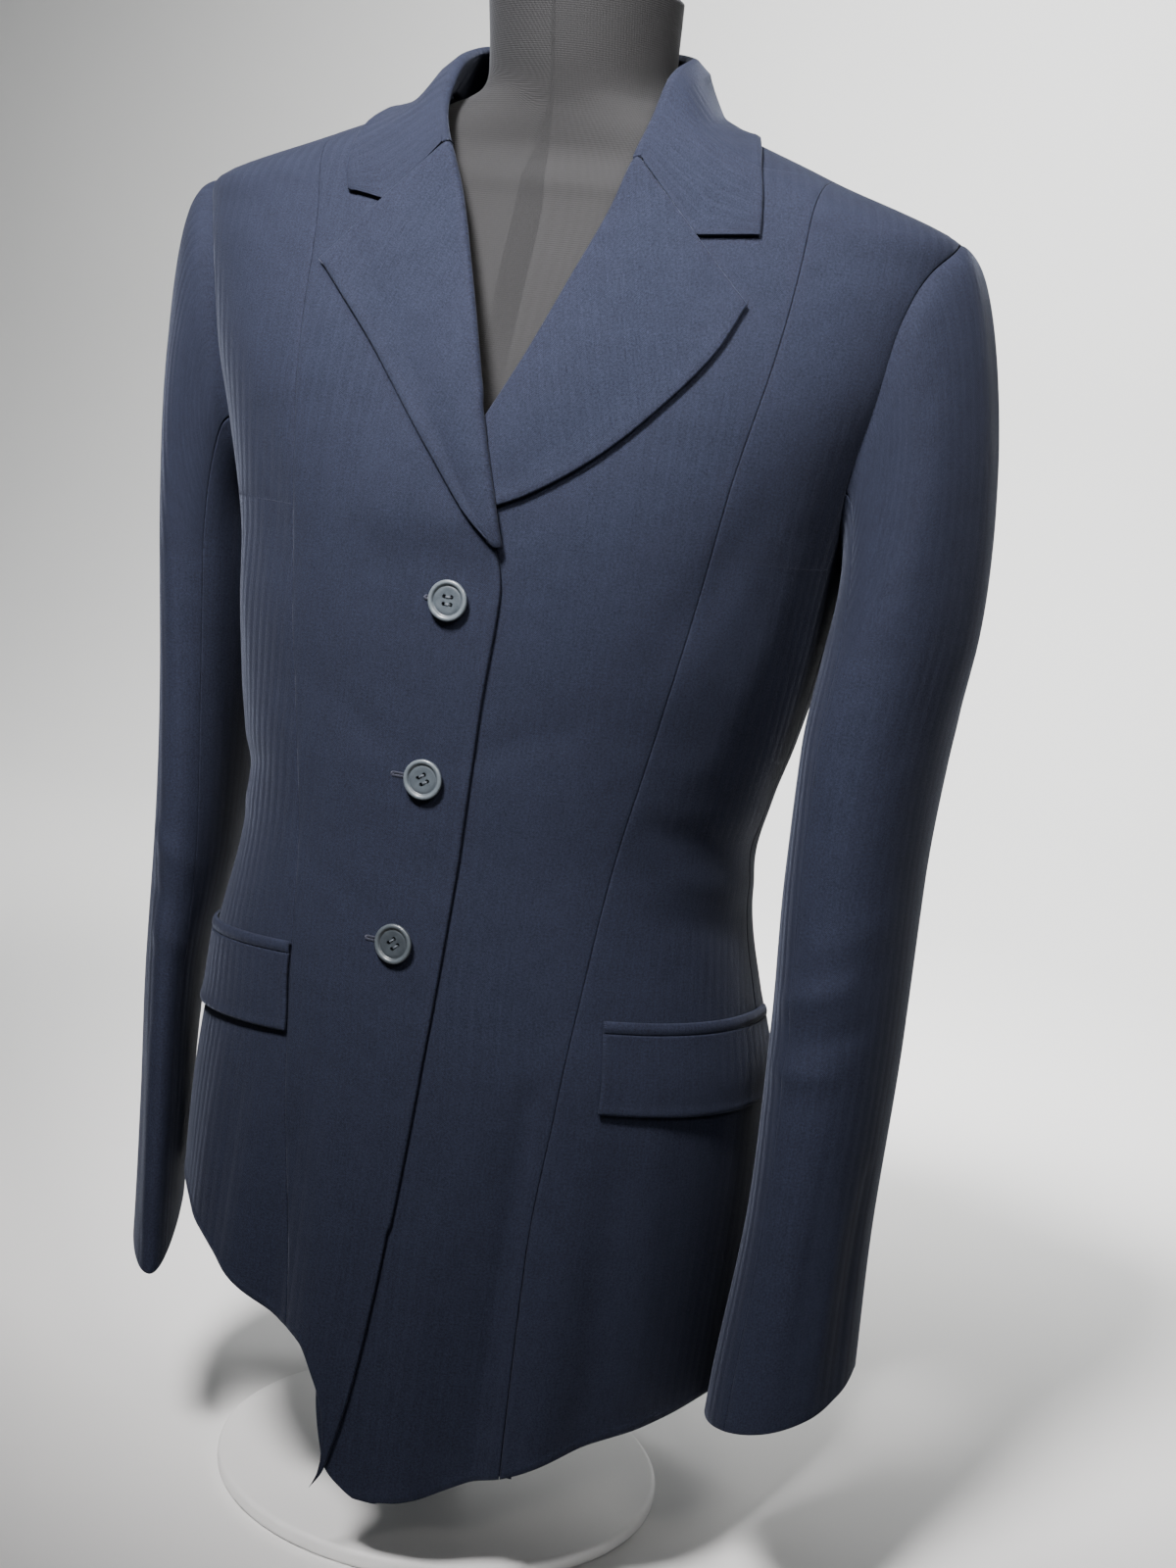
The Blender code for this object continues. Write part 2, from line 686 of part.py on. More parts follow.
def sleeve_point(step, angle, side):
    """A point of the sleeve's middle surface, from the armhole to the cuff."""
    angle %= 360.0
    if step <= CAP_STEPS:
        t = step / CAP_STEPS
        start, out = armhole_point(angle, side)
        end = sleeve_ring(CAP_BOTTOM, angle, side)
        below = sleeve_ring(CAP_BOTTOM - BELOW_CAP, angle, side)
        start = start + out * (LAYER + WALL / 2)
        top = 0.5 + 0.5 * math.cos(math.radians(angle))
        outward, sideways, down, pull = (
            low + change * top for low, change in zip(CAP_AT_ARMPIT, CAP_CHANGE[side])
        )
        leave = unit(out * outward + np.array([SIGN[side] * sideways, 0.0, -down]))
        reach = np.linalg.norm(end - start)
        arrive = unit(below - end)
        h = (2 * t**3 - 3 * t**2 + 1, t**3 - 2 * t**2 + t, 3 * t**2 - 2 * t**3, t**3 - t**2)
        return h[0] * start + h[1] * leave * reach * pull + h[2] * end + h[3] * arrive * reach * ARM_PULL
    t = (step - CAP_STEPS) / ARM_STEPS
    cuff = CUFF.at(angle, side)
    return sleeve_ring(CAP_BOTTOM + (cuff - CAP_BOTTOM) * t, angle, side)


def sleeve_panel(name, side, low, high, columns):
    last = CAP_STEPS + ARM_STEPS
    outer, inner = [], []
    for step in range(last + 1):
        outer_row, inner_row = [], []
        for i in range(columns):
            share = i / (columns - 1)
            angle = low + (high - low) * share
            point = sleeve_point(step, angle, side)
            ahead = sleeve_point(step, angle + ANGLE_PROBE, side)
            behind = sleeve_point(step, angle - ANGLE_PROBE, side)
            after = sleeve_point(min(step + STEP_PROBE, last), angle, side)
            before = sleeve_point(max(step - STEP_PROBE, 0), angle, side)
            round_way = unit(ahead - behind)
            out = unit(np.cross(after - before, round_way)) * SIGN[side]
            if i == 0:
                point = point + round_way * SEAM_GAP / 2
            if i == columns - 1:
                point = point - round_way * SEAM_GAP / 2
            outer_row.append(point + out * WALL / 2)
            inner_row.append(point - out * WALL / 2)
        outer.append(outer_row)
        inner.append(inner_row)
    return cloth(name, outer, inner)


def make_sleeves():
    for side in ("right", "left"):
        sleeve_panel("sleeve_upper_" + side, side, SLEEVE_SEAM_BACK - 360, SLEEVE_SEAM_FRONT, UPPER_COLUMNS)
        sleeve_panel("sleeve_under_" + side, side, SLEEVE_SEAM_FRONT, SLEEVE_SEAM_BACK, UNDER_COLUMNS)


# Lapels, each a little crowned between its roll line and its edge

LAPEL_ROWS = 12
LAPEL_COLUMNS = 7
LAPEL_START = 0.02
LAPEL_CROWN = 0.0016
CROWN_REACH = 1.3
CROWN_GROWS_OVER = 0.4


def layered(height, out, side, level):
    """A point that lies over the front, at a level above it, with the right front's rise."""
    rise = front_lift(side, height, out)
    return front_point(height, out, side, rise + level)


def make_lapel(side):
    outer, inner = [], []
    foot = LAPEL_FOOT[side]
    for t in np.linspace(0.0, 1.0, LAPEL_ROWS):
        roll_height = foot + (GORGE_TOP[side][1] - foot) * t
        roll_out = EDGE.at(roll_height, side)
        end_out, end_height = LAPEL_EDGE[side].at(t, "out", "height")
        if t == 1.0:
            roll_height -= SEAM_GAP
            end_height -= SEAM_GAP
        outer_row, inner_row = [], []
        for turn in ROLL_TURNS[side]:
            a = math.radians(turn)
            for row, radius in ((outer_row, LAYER + WALL / 2), (inner_row, LAYER - WALL / 2)):
                out = roll_out - SEAM_GAP + radius * math.cos(a)
                level = WALL / 2 + radius * math.sin(a)
                row.append(layered(roll_height, out, side, level)[0])
        for u in np.linspace(LAPEL_START, 1.0, LAPEL_COLUMNS):
            out = roll_out + (end_out - roll_out) * u
            height = roll_height + (end_height - roll_height) * u
            crown = LAPEL_CROWN * math.sin(math.pi * min(u * CROWN_REACH, 1.0))
            base = LAYER + 2 * SEAM_GAP + crown * smooth(0.0, CROWN_GROWS_OVER, t)
            outer_row.append(layered(height, out, side, base + WALL)[0])
            inner_row.append(layered(height, out, side, base)[0])
        outer.append(outer_row)
        inner.append(inner_row)
    return cloth("lapel_" + side, outer, inner)


# Pocket flaps and welts, moved out from the panels: start, top, rise and width of each flap

FLAP_ROWS = {"right": (0.071, 0.326, -0.014, 0.041), "left": (0.098, 0.313, -0.005, 0.041)}


STRIP_COLUMNS = 11
FLAP_HEIGHT_ROWS = 5
WELT_HEIGHT_ROWS = 2


def strip(name, side, low, high, rows):
    start, top, rise, _ = FLAP_ROWS[side]
    outer, inner = [], []
    for t in np.linspace(0.0, 1.0, rows):
        outer_row, inner_row = [], []
        for share in np.linspace(0.0, 1.0, STRIP_COLUMNS):
            height = top + rise * share + low + (high - low) * t
            begin = along_at_out(top, start, side)
            along = begin + FLAP_LENGTH * share
            for row, extra in ((outer_row, WALL), (inner_row, 0.0)):
                row.append(body_point(height, along, SIGN[side], FLAP_LIFT + extra)[0])
        outer.append(outer_row)
        inner.append(inner_row)
    return cloth(name, outer, inner)


def make_pockets():
    for side in ("right", "left"):
        strip("pocket_flap_" + side, side, -FLAP_ROWS[side][3], 0.0, FLAP_HEIGHT_ROWS)
        strip("pocket_welt_" + side, side, SEAM_GAP, WELT_WIDTH, WELT_HEIGHT_ROWS)


# Collar

FOLD_COLUMNS = ("share", "out", "depth", "height")
FOLD_ROWS = (
    (0.00, 0.053, -0.064, 0.753),
    (0.12, 0.060, -0.051, 0.777),
    (0.26, 0.061, -0.034, 0.800),
    (0.42, 0.0605, -0.008, 0.812),
    (0.60, 0.0525, 0.024, 0.820),
    (0.80, 0.030, 0.047, 0.826),
    (1.00, 0.000, 0.054, 0.827),
)
FOLD = Table(FOLD_COLUMNS, FOLD_ROWS)

EDGE_OF_FALL_COLUMNS = ("share", "out", "depth", "height")
EDGE_OF_FALL_ROWS = {
    "left": (
        (0.00, 0.121, -0.070, 0.7220),
        (0.12, 0.120, -0.061, 0.7410),
        (0.26, 0.112, -0.037, 0.7620),
        (0.42, 0.097, 0.005, 0.7715),
        (0.60, 0.083, 0.055, 0.7640),
        (0.80, 0.044, 0.082, 0.7480),
        (1.00, 0.000, 0.088, 0.7430),
    ),
    "right": (
        (0.00, 0.105, -0.072, 0.7250),
        (0.12, 0.106, -0.063, 0.7425),
        (0.26, 0.102, -0.038, 0.7650),
        (0.42, 0.093, 0.005, 0.7750),
        (0.60, 0.081, 0.055, 0.7640),
        (0.80, 0.044, 0.082, 0.7480),
        (1.00, 0.000, 0.088, 0.7430),
    ),
}
EDGE_OF_FALL = {side: Table(EDGE_OF_FALL_COLUMNS, rows) for side, rows in EDGE_OF_FALL_ROWS.items()}


def clearance(point):
    """Rough distance of a point outside the coat's inner surface, and the way out."""
    half_width, front, back, roundness, middle = section(point[2])
    depth = front if point[1] < 0 else back
    size = (
        abs((point[0] - middle) / half_width) ** roundness + abs(point[1] / depth) ** roundness
    ) ** (1 / roundness)
    out = normal_at(point[2], point[0], point[1])
    along_ray = math.hypot(point[0] - middle, point[1])
    flat = np.array([point[0] - middle, point[1], 0.0]) / max(along_ray, 1e-6)
    return (along_ray - along_ray / max(size, 1e-6)) * max(float(flat @ out), 0.1), out


def pushed_out(point, least):
    """The point moved outward until it is clear of the coat's inner surface, with a soft start."""
    distance, out = clearance(point)
    wanted = least + PUSH_EASE * math.log1p(math.exp((distance - least) / PUSH_EASE))
    for _ in range(PUSH_ROUNDS):
        if distance >= wanted - PUSH_TOLERANCE:
            break
        point = point + out * (wanted - distance) * PUSH_SHARE
        distance, out = clearance(point)
    return point


def neck_seam(share, side):
    """Where the stand meets the neckline, just above the body's top edge."""
    if share <= SEAM_FRONT_PART:
        rise = 1 - (1 - share / SEAM_FRONT_PART) ** SEAM_EASE
        height = GORGE_TOP[side][1] + (NECK_POINT - GORGE_TOP[side][1]) * rise
        along = edge_along(side, height)
        point, _ = body_point(height, along, SIGN[side], WALL / 2)
        return point
    t = (share - SEAM_FRONT_PART) / (1 - SEAM_FRONT_PART)
    height = NECK_POINT - NECK_BACK_DROP * smooth(0.0, 0.7, t)
    low, high = along_side(height), along_back(height)
    point, _ = body_point(height, low + (high - low) * t, SIGN[side], WALL / 2)
    return point


def collar_front(side):
    """The collar's front end: curl over the front's edge, along the gorge seam, down the free edge."""
    out, height = GORGE_TOP[side]
    share = NOTCH_ON_GORGE[side]
    tip = LAPEL_EDGE_ROWS[side][-1][1:]
    notch = [(1 - share) * top + share * end for top, end in zip((out, height), tip)]
    corner = COLLAR_CORNER[side]
    height += COLLAR_GAP
    edge_out = EDGE.at(height, side) - SEAM_GAP
    centre, top_way = layered(height, edge_out, side, WALL / 2)
    outward = unit(layered(height, edge_out + CURL_PROBE, side, WALL / 2)[0] - centre)
    fall = []
    for t in FALL_STEPS:
        if t < NOTCH_SHARE:
            u = t / NOTCH_SHARE
            low, high = (out + GORGE_START_OUT, height - GORGE_START_DROP), (notch[0], notch[1] + COLLAR_GAP)
        else:
            u = (t - NOTCH_SHARE) / (1 - NOTCH_SHARE)
            low, high = (notch[0], notch[1] + COLLAR_GAP), corner
        place = [low[k] + (high[k] - low[k]) * u for k in (0, 1)]
        fall.append(layered(place[1], place[0], side, WALL / 2 + CURL_RADIUS)[0])
    return centre, outward, top_way, fall


def curl_point(centre, outward, top_way, turn):
    a = math.radians(turn)
    return centre + CURL_RADIUS * (math.cos(a) * outward + math.sin(a) * top_way)


def collar_path(share, side):
    """One cut across the collar: up the stand, over the fold, down the fall."""
    out, depth, height = FOLD.at(share, "out", "depth", "height")
    middle = section(height)[4]
    fold = np.array([SIGN[side] * out + middle, depth, height])
    out, depth, height = EDGE_OF_FALL[side].at(share, "out", "depth", "height")
    edge = np.array([SIGN[side] * out + middle, depth, height])
    top_way = np.array([0.0, 0.0, 1.0])
    outward = unit((edge - fold) * (1 - top_way))
    centre = fold - top_way * CURL_RADIUS
    over = fold + outward * FALL_START_OUT - top_way * FALL_START_DROP
    sag = FALL_SAG * smooth(*SAG_GROWS, share)
    hang = [over + (edge - over) * t - top_way * sag * math.sin(math.pi * t) for t in FALL_STEPS]
    fall = [pushed_out(point, LAYER + WALL / 2 + PUSH_EASE) for point in hang]
    seam = neck_seam(share, side) + top_way * (SEAM_GAP + WALL / 2)
    blend = smooth(0.0, FRONT_BLEND, share)
    if blend < 1.0:
        front_centre, front_outward, front_top, front_fall = collar_front(side)
        centre = front_centre + (centre - front_centre) * blend
        outward = unit(front_outward + (outward - front_outward) * blend)
        top_way = front_top + (top_way - front_top) * blend
        top_way = unit(top_way - outward * (top_way @ outward))
        fall = [a + (b - a) * blend for a, b in zip(front_fall, fall)]
        low_end = curl_point(centre, outward, top_way, STAND_TURN)
        seam = low_end + (seam - low_end) * blend
    curl = [curl_point(centre, outward, top_way, turn) for turn in CURL_TURNS]
    return [seam, (seam + curl[0]) / 2] + curl + fall


CURL_RADIUS = LAYER + 2 * SEAM_GAP
STAND_TURN = 225.0
SEAM_FRONT_PART = 0.42
SEAM_EASE = 2.6
CURL_TURNS = (180.0, 140.0, 100.0, 65.0)
FRONT_BLEND = 0.15
PUSH_EASE = 0.0012
PUSH_ROUNDS = 12
PUSH_SHARE = 0.8
PUSH_TOLERANCE = 0.0001
FALL_START_OUT = 0.008
FALL_START_DROP = 0.006
FALL_SAG = 0.006
SAG_GROWS = (0.08, 0.26)
GORGE_START_OUT = 0.0020
GORGE_START_DROP = 0.0010
CURL_PROBE = 0.002
FALL_STEPS = (0.0, 0.15, 0.30, 0.45, 0.60, 0.80, 1.0)
NOTCH_SHARE = 0.60
COLLAR_GAP = 0.0006
COLLAR_SHARES = (0.0, 0.06, 0.12, 0.18, 0.25, 0.33, 0.42, 0.51, 0.60, 0.70, 0.80, 0.90, 1.0)


def make_collar():
    stations = [("left", s) for s in COLLAR_SHARES] + [("right", s) for s in reversed(COLLAR_SHARES[:-1])]
    middle = [collar_path(share, side) for side, share in stations]
    outer, inner = offset_grid(middle, WALL / 2)
    return cloth("collar", outer, inner)


def offset_grid(grid, distance):
    """Both faces of a wall round a grid of middle points."""
    rows, columns = len(grid), len(grid[0])
    outer, inner = [], []
    for j in range(rows):
        outer_row, inner_row = [], []
        for i in range(columns):
            down = grid[min(j + 1, rows - 1)][i] - grid[max(j - 1, 0)][i]
            across = grid[j][min(i + 1, columns - 1)] - grid[j][max(i - 1, 0)]
            out = unit(np.cross(down, across))
            outer_row.append(grid[j][i] + out * distance)
            inner_row.append(grid[j][i] - out * distance)
        outer.append(outer_row)
        inner.append(inner_row)
    return outer, inner


# Buttons, turned from a profile in shares of their radius and thickness

BUTTON_PROFILE = (
    (0.00, 0.00),
    (0.75, 0.00),
    (1.00, 0.45),
    (1.00, 0.75),
    (0.90, 1.00),
    (0.75, 0.95),
    (0.62, 0.70),
    (0.00, 0.66),
)
BUTTON_SEGMENTS = 20
HOLE_SEGMENTS = 6


def make_button(name):
    height, along = BUTTONS[name]
    lift = front_lift("right", height, along)
    place, out = body_point(height, along, SIGN["right"], lift + WALL + BUTTON_SHANK)
    profile = [(BUTTON_RADIUS * radius, BUTTON_THICKNESS * level) for radius, level in BUTTON_PROFILE]
    button = lathe(name, profile, "slate_horn", segments=BUTTON_SEGMENTS)
    bm = bmesh.new()
    for sx in (-1, 1):
        for sy in (-1, 1):
            hole = bmesh.ops.create_cone(
                bm, cap_ends=True, segments=HOLE_SEGMENTS, radius1=BUTTON_HOLE_RADIUS,
                radius2=BUTTON_HOLE_RADIUS, depth=4 * BUTTON_THICKNESS,
            )
            bmesh.ops.translate(
                bm, verts=hole["verts"], vec=(sx * BUTTON_HOLE_SPACING, sy * BUTTON_HOLE_SPACING, 0),
            )
    cutter_mesh = bpy.data.meshes.new(name + "_holes")
    bm.to_mesh(cutter_mesh)
    bm.free()
    cutter = bpy.data.objects.new(name + "_holes", cutter_mesh)
    bpy.context.scene.collection.objects.link(cutter)
    cutter.hide_render = True
    cutter.display_type = "WIRE"
    cut = button.modifiers.new("holes", "BOOLEAN")
    cut.object = cutter
    for piece in (button, cutter):
        piece.location = tuple(place)
        piece.rotation_euler = (math.atan2(-out[1], out[2]), 0.0, 0.0)


# Dress form

FORM_SEGMENTS = 28
TORSO_ROWS = 14
POST_SEGMENTS = 20
BASE_SEGMENTS = 40


def make_form():
    bm = bmesh.new()
    rings = [[bm.verts.new((0.0, 0.0, TORSO_BOTTOM))]]
    heights = rows_between(TORSO_BOTTOM, ARMHOLE_TOP, TORSO_ROWS)
    heights += [row[0] for row in FORM_ROWS if row[0] > ARMHOLE_TOP]
    for height in heights:
        half_width, front, back, roundness, middle = FORM.at(height, *FORM_COLUMNS[1:])
        ring = []
        for k in range(FORM_SEGMENTS):
            angle = 2 * math.pi * k / FORM_SEGMENTS
            power = 2 / roundness
            x = half_width * math.copysign(abs(math.sin(angle)) ** power, math.sin(angle))
            y = -math.copysign(abs(math.cos(angle)) ** power, math.cos(angle))
            ring.append(bm.verts.new((x + middle, y * (front if y < 0 else back), height)))
        rings.append(ring)
    rings.append([bm.verts.new((FORM.at(TORSO_TOP, "middle"), 0.0, TORSO_TOP))])
    join_rings(bm, rings)
    finish_mesh("form_torso", bm, "black_jersey")
    neck = FORM.at(TORSO_TOP, "half_width") * NECK_CAP_SHARE
    rise = NECK_CAP_TOP - TORSO_TOP - SEAM_GAP
    wall = rise * NECK_CAP_WALL
    cap = [(0.0, 0.0), (neck, 0.0), (neck, wall)]
    cap += [(neck * math.cos(a), wall + (rise - wall) * math.sin(a)) for a in NECK_CAP_TURNS]
    cap += [(0.0, rise)]
    centre = (FORM.at(TORSO_TOP, "middle"), 0.0, TORSO_TOP + SEAM_GAP)
    lathe("form_neck_cap", cap, "black_jersey", centre, FORM_SEGMENTS)
    post = [(0.0, BASE_THICKNESS + SEAM_GAP), (POST_RADIUS, BASE_THICKNESS + SEAM_GAP)]
    post += [(POST_RADIUS, TORSO_BOTTOM - SEAM_GAP), (0.0, TORSO_BOTTOM - SEAM_GAP)]
    lathe("form_post", post, "pale_metal", segments=POST_SEGMENTS)
    base = [(0.0, 0.0), (BASE_RADIUS - BASE_EDGE, 0.0), (BASE_RADIUS, BASE_EDGE)]
    base += [(BASE_RADIUS, BASE_THICKNESS - BASE_EDGE), (BASE_RADIUS - BASE_EDGE, BASE_THICKNESS)]
    base += [(0.0, BASE_THICKNESS)]
    lathe("form_base", base, "pale_metal", segments=BASE_SEGMENTS)


def main():
    for piece in list(bpy.data.objects):
        bpy.data.objects.remove(piece, do_unlink=True)
    make_body()
    make_sleeves()
    make_lapel("right")
    make_lapel("left")
    make_pockets()
    make_collar()
    for name in BUTTONS:
        make_button(name)
    make_form()


main()
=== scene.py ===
import math

import bmesh
import bpy
import numpy as np
from mathutils import Matrix, Vector


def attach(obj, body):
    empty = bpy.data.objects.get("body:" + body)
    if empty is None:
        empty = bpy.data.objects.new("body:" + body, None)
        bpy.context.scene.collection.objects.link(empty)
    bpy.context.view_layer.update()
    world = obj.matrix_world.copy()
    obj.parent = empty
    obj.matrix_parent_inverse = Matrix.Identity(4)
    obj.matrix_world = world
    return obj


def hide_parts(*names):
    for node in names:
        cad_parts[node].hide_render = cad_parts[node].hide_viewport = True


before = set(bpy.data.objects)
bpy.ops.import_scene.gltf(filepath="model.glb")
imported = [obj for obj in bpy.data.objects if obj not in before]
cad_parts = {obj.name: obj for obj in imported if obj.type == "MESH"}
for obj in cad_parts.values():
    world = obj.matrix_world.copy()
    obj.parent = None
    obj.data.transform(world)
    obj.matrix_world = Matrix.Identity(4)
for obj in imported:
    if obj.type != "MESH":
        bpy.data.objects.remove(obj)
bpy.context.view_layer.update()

# Driving dimensions, as in the solids
WALL = 0.002
SEAM_GAP = 0.0003
LAYER = WALL + SEAM_GAP
ARMHOLE_TOP = 0.731
ARMHOLE_BOTTOM = 0.560
ARMHOLE_FRONT = 0.053
ARMHOLE_BACK = 0.056
SKIRT_TOP = 0.200
FLAP_LENGTH = 0.135
WELT_WIDTH = 0.0055
BUTTON_RADIUS = 0.0105
BUTTON_THICKNESS = 0.0035
BUTTON_SHANK = 0.0007
BUTTON_HOLE_RADIUS = 0.0011
BUTTON_HOLE_SPACING = 0.0019
BUTTONS = {
    "button_top": (0.5238, 0.000),
    "button_middle": (0.432, -0.001),
    "button_bottom": (0.345, 0.004),
}
BASE_RADIUS = 0.130
BASE_THICKNESS = 0.010
POST_RADIUS = 0.016
TORSO_BOTTOM = 0.140
TORSO_TOP = 0.845
NECK_CAP_TOP = 0.873
NECK_CAP_SHARE = 0.94
NECK_CAP_WALL = 0.35
BASE_EDGE = 0.003
FLAP_LIFT = 0.003

# The right front's rise over the left front: heights where it climbs over the left lapel, heights over
# which it narrows and by how much, and how far out it is full and has faded
LAPEL_CLIMB = (0.537, 0.567)
LAPEL_CLEARANCE = 0.0012
RISE_NARROWS = (0.56, 0.66)
RISE_NARROWING = 0.025
RISE_FULL = 0.030
RISE_ENDS = 0.075

# The coat's inner surface below the shoulder tips: level superellipses
BODY_COLUMNS = ("height", "half_width", "front", "back", "roundness", "middle")
BODY_ROWS = (
    (0.020, 0.170, 0.146, 0.136, 2.2, 0.000),
    (0.100, 0.172, 0.143, 0.135, 2.2, 0.000),
    (0.150, 0.172, 0.140, 0.132, 2.2, 0.000),
    (0.220, 0.170, 0.136, 0.126, 2.2, 0.000),
    (0.280, 0.163, 0.133, 0.118, 2.2, 0.000),
    (0.320, 0.155, 0.130, 0.109, 2.2, -0.004),
    (0.360, 0.146, 0.127, 0.100, 2.2, -0.005),
    (0.395, 0.143, 0.125, 0.096, 2.2, -0.005),
    (0.430, 0.149, 0.125, 0.097, 2.2, -0.005),
    (0.460, 0.156, 0.125, 0.100, 2.2, -0.004),
    (0.500, 0.162, 0.126, 0.106, 2.3, -0.002),
    (0.550, 0.168, 0.125, 0.112, 2.4, 0.000),
    (0.600, 0.180, 0.118, 0.115, 2.6, 0.000),
    (0.650, 0.196, 0.103, 0.112, 2.8, 0.000),
    (0.690, 0.207, 0.087, 0.104, 2.8, -0.0015),
    (0.731, 0.214, 0.070, 0.088, 2.5, -0.003),
)

# The same above the shoulder tips, up to the neck
SHOULDER_ROWS = (
    (0.731, 0.214, 0.070, 0.088, 2.5, -0.003),
    (0.742, 0.185, 0.067, 0.083, 2.4, -0.0050),
    (0.753, 0.153, 0.064, 0.078, 2.3, -0.0070),
    (0.763, 0.1270, 0.060, 0.073, 2.2, -0.0075),
    (0.772, 0.1030, 0.054, 0.067, 2.1, -0.0080),
    (0.780, 0.0820, 0.048, 0.060, 2.0, -0.0080),
    (0.790, 0.0675, 0.042, 0.053, 2.0, -0.0080),
    (0.830, 0.060, 0.040, 0.050, 2.0, -0.008),
)

# Front edges and roll lines, outward from the centre line on the wearer's own side
EDGE_COLUMNS = ("height", "right", "left")
EDGE_ROWS = (
    (0.046, 0.019, 0.012),
    (0.050, 0.016, 0.004),
    (0.060, 0.010, -0.009),
    (0.075, 0.006, -0.015),
    (0.100, 0.001, -0.020),
    (0.140, -0.004, -0.022),
    (0.200, -0.009, -0.023),
    (0.280, -0.014, -0.023),
    (0.380, -0.018, -0.023),
    (0.470, -0.021, -0.023),
    (0.530, -0.025, -0.023),
    (0.560, -0.018, -0.019),
    (0.611, -0.001, 0.003),
    (0.650, 0.012, 0.019),
    (0.690, 0.028, 0.032),
    (0.725, 0.043, 0.043),
    (0.753, 0.057, 0.049),
    (0.770, 0.0670, 0.0550),
    (0.790, 0.0790, 0.0620),
)

# Princess seams, outward from the centre line on the wearer's own side
PRINCESS_COLUMNS = ("height", "right", "left")
PRINCESS_ROWS = (
    (0.020, 0.036, 0.082),
    (0.110, 0.043, 0.080),
    (0.200, 0.056, 0.079),
    (0.270, 0.066, 0.083),
    (0.330, 0.072, 0.086),
    (0.395, 0.079, 0.091),
    (0.460, 0.089, 0.103),
    (0.530, 0.099, 0.117),
    (0.596, 0.106, 0.127),
    (0.660, 0.115, 0.138),
    (0.710, 0.122, 0.141),
    (0.740, 0.131, 0.140),
    (0.760, 0.139, 0.138),
)

# The hem's height along the cloth, from the centre front round to the centre back
HEM_COLUMNS = ("along", "right", "left")
HEM_ROWS = (
    (0.000, 0.046, 0.050),
    (0.018, 0.048, 0.048),
    (0.022, 0.072, 0.048),
    (0.026, 0.094, 0.049),
    (0.031, 0.112, 0.050),
    (0.036, 0.125, 0.051),
    (0.050, 0.130, 0.056),
    (0.083, 0.144, 0.075),
    (0.120, 0.161, 0.092),
    (0.160, 0.172, 0.101),
    (0.250, 0.172, 0.106),
    (0.350, 0.150, 0.114),
    (0.500, 0.124, 0.124),
)

# Soft flares of the skirt: side, place along the hem, where each fades out, breadth and depth
FLARES = (
    (1, 0.062, 0.300, 0.016, -0.0050),
    (1, 0.098, 0.310, 0.020, 0.0060),
    (1, 0.210, 0.360, 0.042, -0.0065),
    (-1, 0.020, 0.280, 0.018, 0.0040),
    (-1, 0.056, 0.300, 0.014, -0.0070),
    (-1, 0.088, 0.300, 0.020, 0.0040),
    (-1, 0.190, 0.360, 0.050, -0.0090),
    (1, 0.330, 0.300, 0.026, 0.0050),
    (1, 0.400, 0.280, 0.024, -0.0040),
    (1, 0.455, 0.310, 0.022, 0.0060),
    (-1, 0.320, 0.290, 0.026, 0.0045),
    (-1, 0.395, 0.300, 0.024, -0.0040),
    (-1, 0.450, 0.270, 0.022, 0.0055),
)

# Sleeves below the cap: level rings that hang a little forward
SLEEVE_COLUMNS = ("height", "centre", "forward", "outer", "inner", "depth", "turn")
SLEEVE_ROWS = {
    "left": (
        (0.060, 0.2035, 0.046, 0.0390, 0.0370, 0.0420, 0.0),
        (0.120, 0.2045, 0.042, 0.0375, 0.0365, 0.0440, 0.0),
        (0.226, 0.2075, 0.034, 0.0310, 0.0330, 0.0480, 0.0),
        (0.320, 0.2055, 0.022, 0.0330, 0.0345, 0.0530, 0.0),
        (0.400, 0.2030, 0.013, 0.0330, 0.0370, 0.0560, 2.0),
        (0.465, 0.2020, 0.008, 0.0360, 0.0370, 0.0585, 3.0),
        (0.520, 0.2040, 0.004, 0.0400, 0.0345, 0.0600, 2.0),
    ),
    "right": (
        (0.060, 0.1790, 0.035, 0.0130, 0.0125, 0.0560, 25.0),
        (0.120, 0.1815, 0.033, 0.0130, 0.0125, 0.0565, 25.0),
        (0.200, 0.1860, 0.028, 0.0140, 0.0130, 0.0570, 24.0),
        (0.288, 0.1900, 0.020, 0.0175, 0.0150, 0.0570, 20.0),
        (0.350, 0.1880, 0.012, 0.0220, 0.0200, 0.0570, 13.0),
        (0.437, 0.1905, 0.004, 0.0230, 0.0235, 0.0580, 4.0),
        (0.520, 0.1968, 0.000, 0.0240, 0.0278, 0.0600, 0.0),
    ),
}
CAP_BOTTOM = 0.520
CUFF_COLUMNS = ("angle", "left", "right")
CUFF_ROWS = (
    (0.0, 0.141, 0.126),
    (90.0, 0.113, 0.114),
    (180.0, 0.103, 0.140),
    (270.0, 0.130, 0.145),
    (360.0, 0.141, 0.126),
)
SLEEVE_SEAM_FRONT = 120.0
SLEEVE_SEAM_BACK = 240.0

